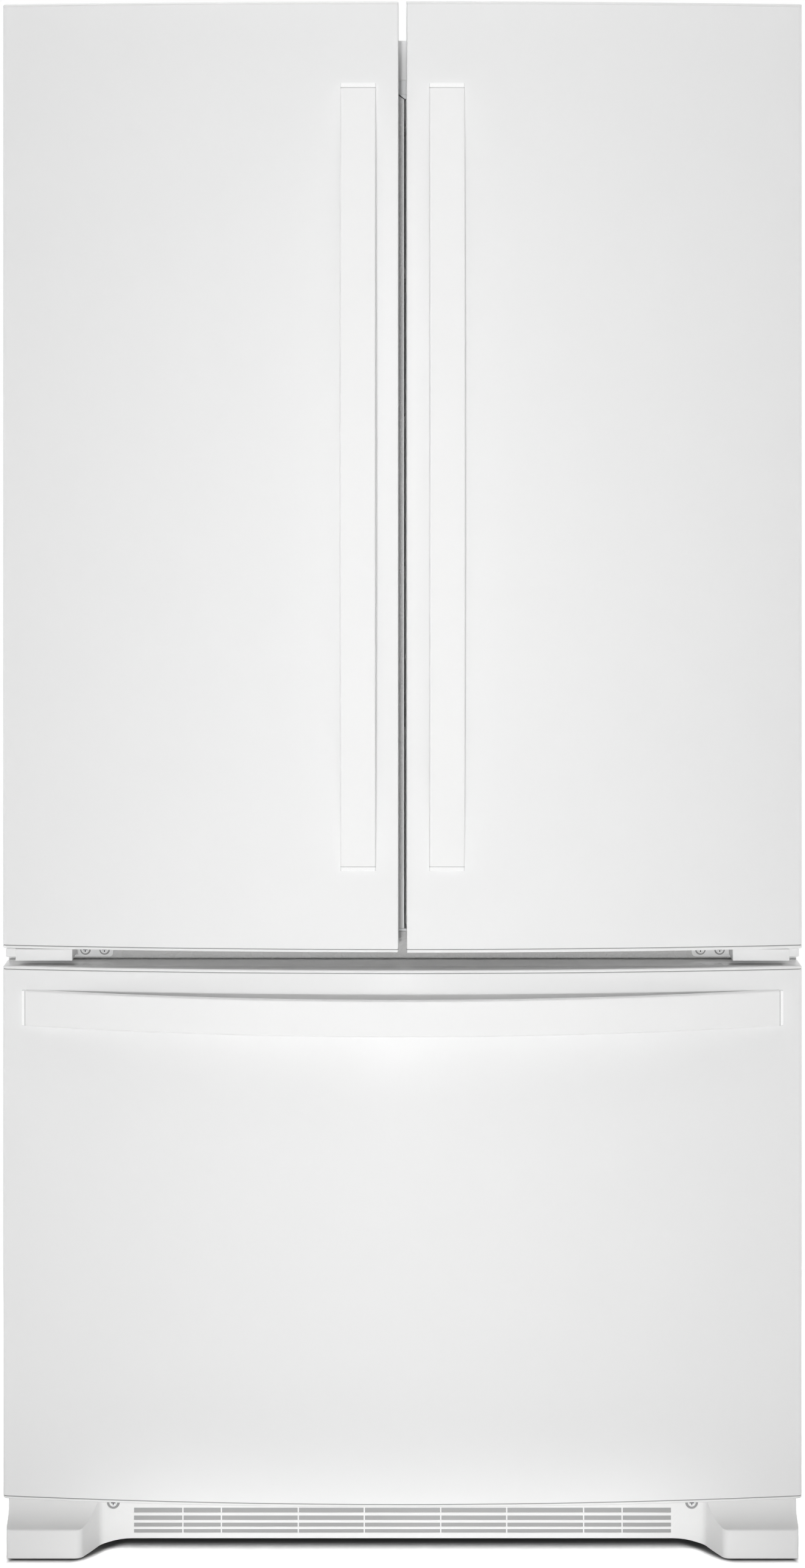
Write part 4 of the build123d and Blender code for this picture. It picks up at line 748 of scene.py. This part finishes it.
def mullion_guide():
    low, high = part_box("mullion_bar")
    mesh = bmesh.new()
    profile = [(high.x + across, high.z + rise) for across, rise in GUIDE]
    prism(mesh, profile, 1, [low.y + depth for depth in GUIDE_DEPTH])
    soften(mesh, GUIDE_ROUND)
    new_piece("mullion_guide", mesh, body_of["fresh_food_liner"], slot_of["fresh_food_liner"])


def seal_lip():
    low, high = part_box("mullion_bar")
    seal_low, seal_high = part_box("right_door_gasket")
    inner = seal_low.x + LIP_INSET
    outer = high.x + LIP_REACH
    back = seal_high.y
    tip = [(outer + across, back + y) for across, y in LIP_TIP]
    mesh = bmesh.new()
    prism(mesh, [(inner, back + LIP_FRONT), *tip, (inner, back + LIP_BACK)], 2, (low.z, high.z))
    soften(mesh, LIP_ROUND)
    new_piece("seal_lip", mesh, body_of["right_door_gasket"], slot_of["right_door_gasket"])


# Screws: dark rings of painted shade round their heads, and black crosses of painted shade in them
def disc_ring(mesh, middle, inner, outer, y):
    rows = []
    for radius, depth in ((inner, y[0]), (outer, y[0]), (outer, y[1]), (inner, y[1])):
        row = []
        for step in range(RING_STEPS):
            angle = 2 * math.pi * step / RING_STEPS
            x = middle[0] + radius * math.cos(angle)
            z = middle[1] + radius * math.sin(angle)
            row.append(mesh.verts.new((x, depth, z)))
        rows.append(row)
    for here, there in zip(rows, rows[1:] + rows[:1]):
        join_rows(mesh, here, there)


def cross(middle, arm, half):
    steps = ((half, half), (half, arm), (-half, arm), (-half, half), (-arm, half), (-arm, -half))
    outline = list(steps) + [(-x, -z) for x, z in steps]
    return [(middle[0] + x, middle[1] + z) for x, z in outline]


def screw_marks():
    shade_rings = bmesh.new()
    cross_shades = bmesh.new()
    grille_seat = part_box("toe_grille")[1].y - GRILLE_SEAT
    hinge_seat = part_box("centre_hinges")[1].y - HINGE_SEAT
    for screws, seat, shade_ring_radius in (
        (GRILLE_SCREWS, grille_seat, GRILLE_SHADE_RADIUS),
        (HINGE_SCREWS, hinge_seat, HINGE_SHADE_RADIUS),
    ):
        head = seat - HEAD_RISE
        for x, z in screws:
            for middle in ((-x, z), (x, z)):
                # A dark ring of painted shade round each head, and a black cross of painted shade in it
                disc_ring(shade_rings, middle, SCREW_HEAD - SHADE_RING_LAP, shade_ring_radius, (seat - SHADE_RING_RISE, seat + SHADE_RING_SINK))
                outline = cross(middle, CROSS_ARM, CROSS_HALF)
                prism(cross_shades, outline, 1, (head - CROSS_RISE, head + CROSS_SINK))
    turn_outward(shade_rings)
    turn_outward(cross_shades)
    new_piece("painted_screw_shades", shade_rings, body_of["cabinet_screws"], slot_of["cabinet_screws"], "painted_screw_shade")
    new_piece("screw_cross_shades", cross_shades, body_of["cabinet_screws"], "black_steel")


# Short wings beside the centre hinges that close them to the cabinet's sides
def hinge_wings():
    low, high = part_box("centre_hinges")
    mesh = bmesh.new()
    for side in (-1, 1):
        inner = side * (high.x + WING_INNER)
        outer = side * (high.x + WING_OUTER)
        profile = ((inner, WING_LOW), (outer, WING_LOW), (outer, WING_HIGH), (inner, WING_HIGH))
        prism(mesh, profile, 1, (low.y + WING_INSET, WING_BACK))
    soften(mesh, WING_ROUND)
    new_piece("hinge_wings", mesh, body_of["centre_hinges"], slot_of["centre_hinges"])


# Rear panel: a sheet with stamped fields one above the other, a little below its rim
def field_knots(span, fields):
    """Places across a span and how far each is into a field, 0 on the rim and 1 inside."""
    knots = [(span[0], 0.0)]
    for low, high in fields:
        for edge, rising in ((low, True), (high - FIELD_SLOPE, False)):
            knots.append((edge - FIELD_MARGIN, 0.0 if rising else 1.0))
            for step in range(FIELD_STEPS + 1):
                share = step / FIELD_STEPS
                ease = share * share * (3 - 2 * share)
                knots.append((edge + FIELD_SLOPE * share, ease if rising else 1 - ease))
            knots.append((edge + FIELD_SLOPE + FIELD_MARGIN, 1.0 if rising else 0.0))
    knots.append((span[1], 0.0))
    return knots


def band(mesh, here, there):
    """Adds the faces of an open band between two rows of as many points."""
    for index in range(len(here) - 1):
        mesh.faces.new((here[index], here[index + 1], there[index + 1], there[index]))


def rear_sheet():
    low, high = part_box("rear_panel")
    columns = field_knots((low.x, high.x), [(low.x + FIELD_RIM, high.x - FIELD_RIM)])
    pitch = (high.z - low.z - FIELD_RIM) / FIELD_COUNT
    fields = []
    for row in range(FIELD_COUNT):
        fields.append((low.z + FIELD_RIM + row * pitch, low.z + (row + 1) * pitch))
    levels = field_knots((low.z, high.z), fields)
    mesh = bmesh.new()
    outside = []
    inside = []
    for z, row_share in levels:
        depths = [(x, high.y - FIELD_DEPTH * share * row_share) for x, share in columns]
        outside.append([mesh.verts.new((x, y, z)) for x, y in depths])
        inside.append([mesh.verts.new((x, low.y, z)) for x, _ in depths])
    for side in (outside, inside):
        for here, there in zip(side, side[1:]):
            band(mesh, here, there)
    for end in (0, -1):
        band(mesh, outside[end], inside[end])
    for end in (0, -1):
        band(mesh, [row[end] for row in outside], [row[end] for row in inside])
    turn_outward(mesh)
    piece = new_piece("rear_sheet", mesh, body_of["rear_panel"], slot_of["rear_panel"])
    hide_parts("rear_panel")


# Hex screws with washers that hold the machine cover, and the screws on the hinge covers
def turned(mesh, middle, axis, rings, steps):
    """Adds a closed turned shape: rings of radius and height along an axis."""
    rows = []
    for radius, height in rings:
        row = []
        for step in range(steps):
            angle = 2 * math.pi * step / steps
            offset = [radius * math.cos(angle), radius * math.sin(angle)]
            offset.insert(axis, height)
            row.append(mesh.verts.new(Vector(middle) + Vector(offset)))
        rows.append(row)
    for here, there in zip(rows, rows[1:]):
        join_rows(mesh, here, there)
    mesh.faces.new(rows[0])
    mesh.faces.new(rows[-1])


def cover_screws():
    low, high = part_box("machine_cover")
    places = (low.x + COVER_SCREW_IN, -COVER_SCREW_MIDDLE, COVER_SCREW_MIDDLE, high.x - COVER_SCREW_IN)
    mesh = bmesh.new()
    for x in places:
        for z in (low.z + COVER_SCREW_UP, high.z - COVER_SCREW_UP):
            turned(mesh, (x, high.y, z), 1, WASHER, RING_STEPS)
            turned(mesh, (x, high.y, z), 1, HEX_HEAD, HEX_STEPS)
    turn_outward(mesh)
    new_piece("cover_screws", mesh, body_of["machine_cover"], "zinc_steel")


def hinge_cover_screws():
    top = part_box("hinge_covers")[1].z
    x, y = HINGE_COVER_SCREW
    heads = bmesh.new()
    cross_shades = bmesh.new()
    for side in (-1, 1):
        middle = (side * x, y, top)
        turned(heads, middle, 2, ROUND_HEAD, RING_STEPS)
        # A black cross of painted shade on each head
        outline = cross(middle, COVER_CROSS_ARM, COVER_CROSS_HALF)
        prism(cross_shades, outline, 2, [top + height for height in COVER_CROSS_SPAN])
    turn_outward(heads)
    turn_outward(cross_shades)
    new_piece("hinge_cover_screws", heads, body_of["hinge_covers"], "zinc_steel")
    new_piece("hinge_cover_cross_shades", cross_shades, body_of["hinge_covers"], "black_steel")


slot_blades_in_painted_shade()
mullion_ends()
mullion_guide()
seal_lip()
screw_marks()
hinge_wings()
rear_sheet()
cover_screws()
hinge_cover_screws()

# CAD pieces with rounded edges
for node, width in ROUNDED.items():
    rounded_copy(node, width, finish=OWN_FINISH.get(node))
for front in FRONTS:
    rounded_copy(front + "_caps", CAP_ROUND, CAP_END_ROUND, "cap_gloss")

# The other CAD pieces keep their shape and take the finish of their slot
for node, piece in frame["nodes"].items():
    for place in piece.material_slots:
        place.material = materials[slot_of[node]]


# Stage: a pale floor that turns white away from the object, and soft lamps
def calculate(tree, operation, first, second=None):
    node = tree.nodes.new("ShaderNodeMath")
    node.operation = operation
    tree.links.new(first, node.inputs[0])
    if second is not None:
        tree.links.new(second, node.inputs[1])
    return node.outputs["Value"]


def seen_directly(tree):
    """1 for camera, glossy and transmission rays, which show the background as white."""
    path = tree.nodes.new("ShaderNodeLightPath").outputs
    seen = calculate(tree, "MAXIMUM", path["Is Camera Ray"], path["Is Glossy Ray"])
    return calculate(tree, "MAXIMUM", seen, path["Is Transmission Ray"])


def remap(tree, value, span, levels):
    """A smooth change between two levels as a value goes over a span."""
    node = tree.nodes.new("ShaderNodeMapRange")
    node.interpolation_type = "SMOOTHSTEP"
    for name, number in zip(("From Min", "From Max", "To Min", "To Max"), (*span, *levels)):
        node.inputs[name].default_value = number
    tree.links.new(value, node.inputs["Value"])
    return node.outputs["Result"]


def floor_material():
    """Pale paper, dark in the contact shadow under the feet and the grille, white further out."""
    material = bpy.data.materials.new("floor")
    material.use_nodes = True
    tree = material.node_tree
    output = tree.nodes["Material Output"]
    tree.nodes.remove(tree.nodes["Principled BSDF"])
    camera_ray = tree.nodes.new("ShaderNodeLightPath").outputs["Is Camera Ray"]
    place = tree.nodes.new("ShaderNodeTexCoord").outputs["Object"]
    parts = tree.nodes.new("ShaderNodeSeparateXYZ")
    tree.links.new(place, parts.inputs["Vector"])
    across = calculate(tree, "ABSOLUTE", parts.outputs["X"])
    reach = calculate(tree, "ADD", parts.outputs["Y"], remap(tree, across, FOOT_EDGE, (0.0, FOOT_FORWARD)))
    front = remap(tree, reach, SHADOW_FRONT, (1.0, 0.0))
    side = remap(tree, across, SHADOW_SIDE, (0.0, 1.0))
    back = remap(tree, parts.outputs["Y"], SHADOW_BACK, (0.0, 1.0))
    open_floor = calculate(tree, "MAXIMUM", calculate(tree, "MAXIMUM", front, side), back)
    shade = tree.nodes.new("ShaderNodeMix")
    shade.data_type = "FLOAT"
    shade.inputs["A"].default_value = PAPER_SHADE
    tree.links.new(camera_ray, shade.inputs["Factor"])
    tree.links.new(remap(tree, open_floor, (0.0, 1.0), SHADOW_SHADES), shade.inputs["B"])
    paper = tree.nodes.new("ShaderNodeBsdfDiffuse")
    tree.links.new(shade.outputs["Result"], paper.inputs["Color"])
    white = tree.nodes.new("ShaderNodeEmission")
    length = tree.nodes.new("ShaderNodeVectorMath")
    length.operation = "LENGTH"
    tree.links.new(place, length.inputs[0])
    far = remap(tree, length.outputs["Value"], WHITE_FROM, (0.0, 1.0))
    mix = tree.nodes.new("ShaderNodeMixShader")
    tree.links.new(calculate(tree, "MULTIPLY", far, seen_directly(tree)), mix.inputs["Fac"])
    tree.links.new(paper.outputs["BSDF"], mix.inputs[1])
    tree.links.new(white.outputs["Emission"], mix.inputs[2])
    tree.links.new(mix.outputs["Shader"], output.inputs["Surface"])
    return material


floor_mesh = bmesh.new()
bmesh.ops.create_circle(floor_mesh, cap_ends=True, segments=FLOOR_SEGMENTS, radius=FLOOR_RADIUS)
floor_data = bpy.data.meshes.new("floor")
floor_mesh.to_mesh(floor_data)
floor_mesh.free()
floor_data.materials.append(floor_material())
floor = bpy.data.objects.new("floor", floor_data)
bpy.context.scene.collection.objects.link(floor)

world = bpy.data.worlds.new("studio")
bpy.context.scene.world = world
world.use_nodes = True
sky = world.node_tree.nodes["Background"]
sky.inputs["Color"].default_value = (1, 1, 1, 1)
level = world.node_tree.nodes.new("ShaderNodeMapRange")
level.inputs["To Min"].default_value = AMBIENT
level.inputs["To Max"].default_value = 1.0
world.node_tree.links.new(seen_directly(world.node_tree), level.inputs["Value"])
world.node_tree.links.new(level.outputs["Result"], sky.inputs["Strength"])


def panel(name, size, watts, spread):
    light = bpy.data.lights.new(name, "AREA")
    light.shape = "RECTANGLE"
    light.size, light.size_y = size
    light.energy = watts
    light.spread = math.radians(spread)
    return light


def distant(name, width, strength):
    light = bpy.data.lights.new(name, "SUN")
    light.angle = math.radians(width)
    light.energy = strength
    return light


def lamp(light, place, target):
    thing = bpy.data.objects.new(light.name, light)
    thing.location = place
    thing.rotation_euler = (Vector(target) - Vector(place)).to_track_quat("-Z", "Y").to_euler()
    thing.visible_camera = False
    thing.visible_glossy = False
    bpy.context.scene.collection.objects.link(thing)


lamp(distant("key", KEY_WIDTH, KEY_STRENGTH), KEY_PLACE, KEY_TARGET)
for name, (size, watts, spread, place, target) in PANELS.items():
    lamp(panel(name, size, watts, spread), place, target)

# Camera: level, in front, with the picture shifted down as the photograph frames it
camera_data = bpy.data.cameras.new("camera")
camera_data.lens = SENSOR * PIXELS_PER_METRE * DISTANCE / IMAGE_HEIGHT
camera_data.shift_y = -(IMAGE_HEIGHT / 2 - HORIZON_ROW) / IMAGE_HEIGHT
camera = bpy.data.objects.new("camera", camera_data)
camera.location = (0.0, FRONT_PLANE - DISTANCE, EYE_HEIGHT)
camera.rotation_euler = (math.pi / 2, 0, 0)
bpy.context.scene.collection.objects.link(camera)
bpy.context.scene.camera = camera
bpy.context.scene.view_settings.view_transform = "Standard"
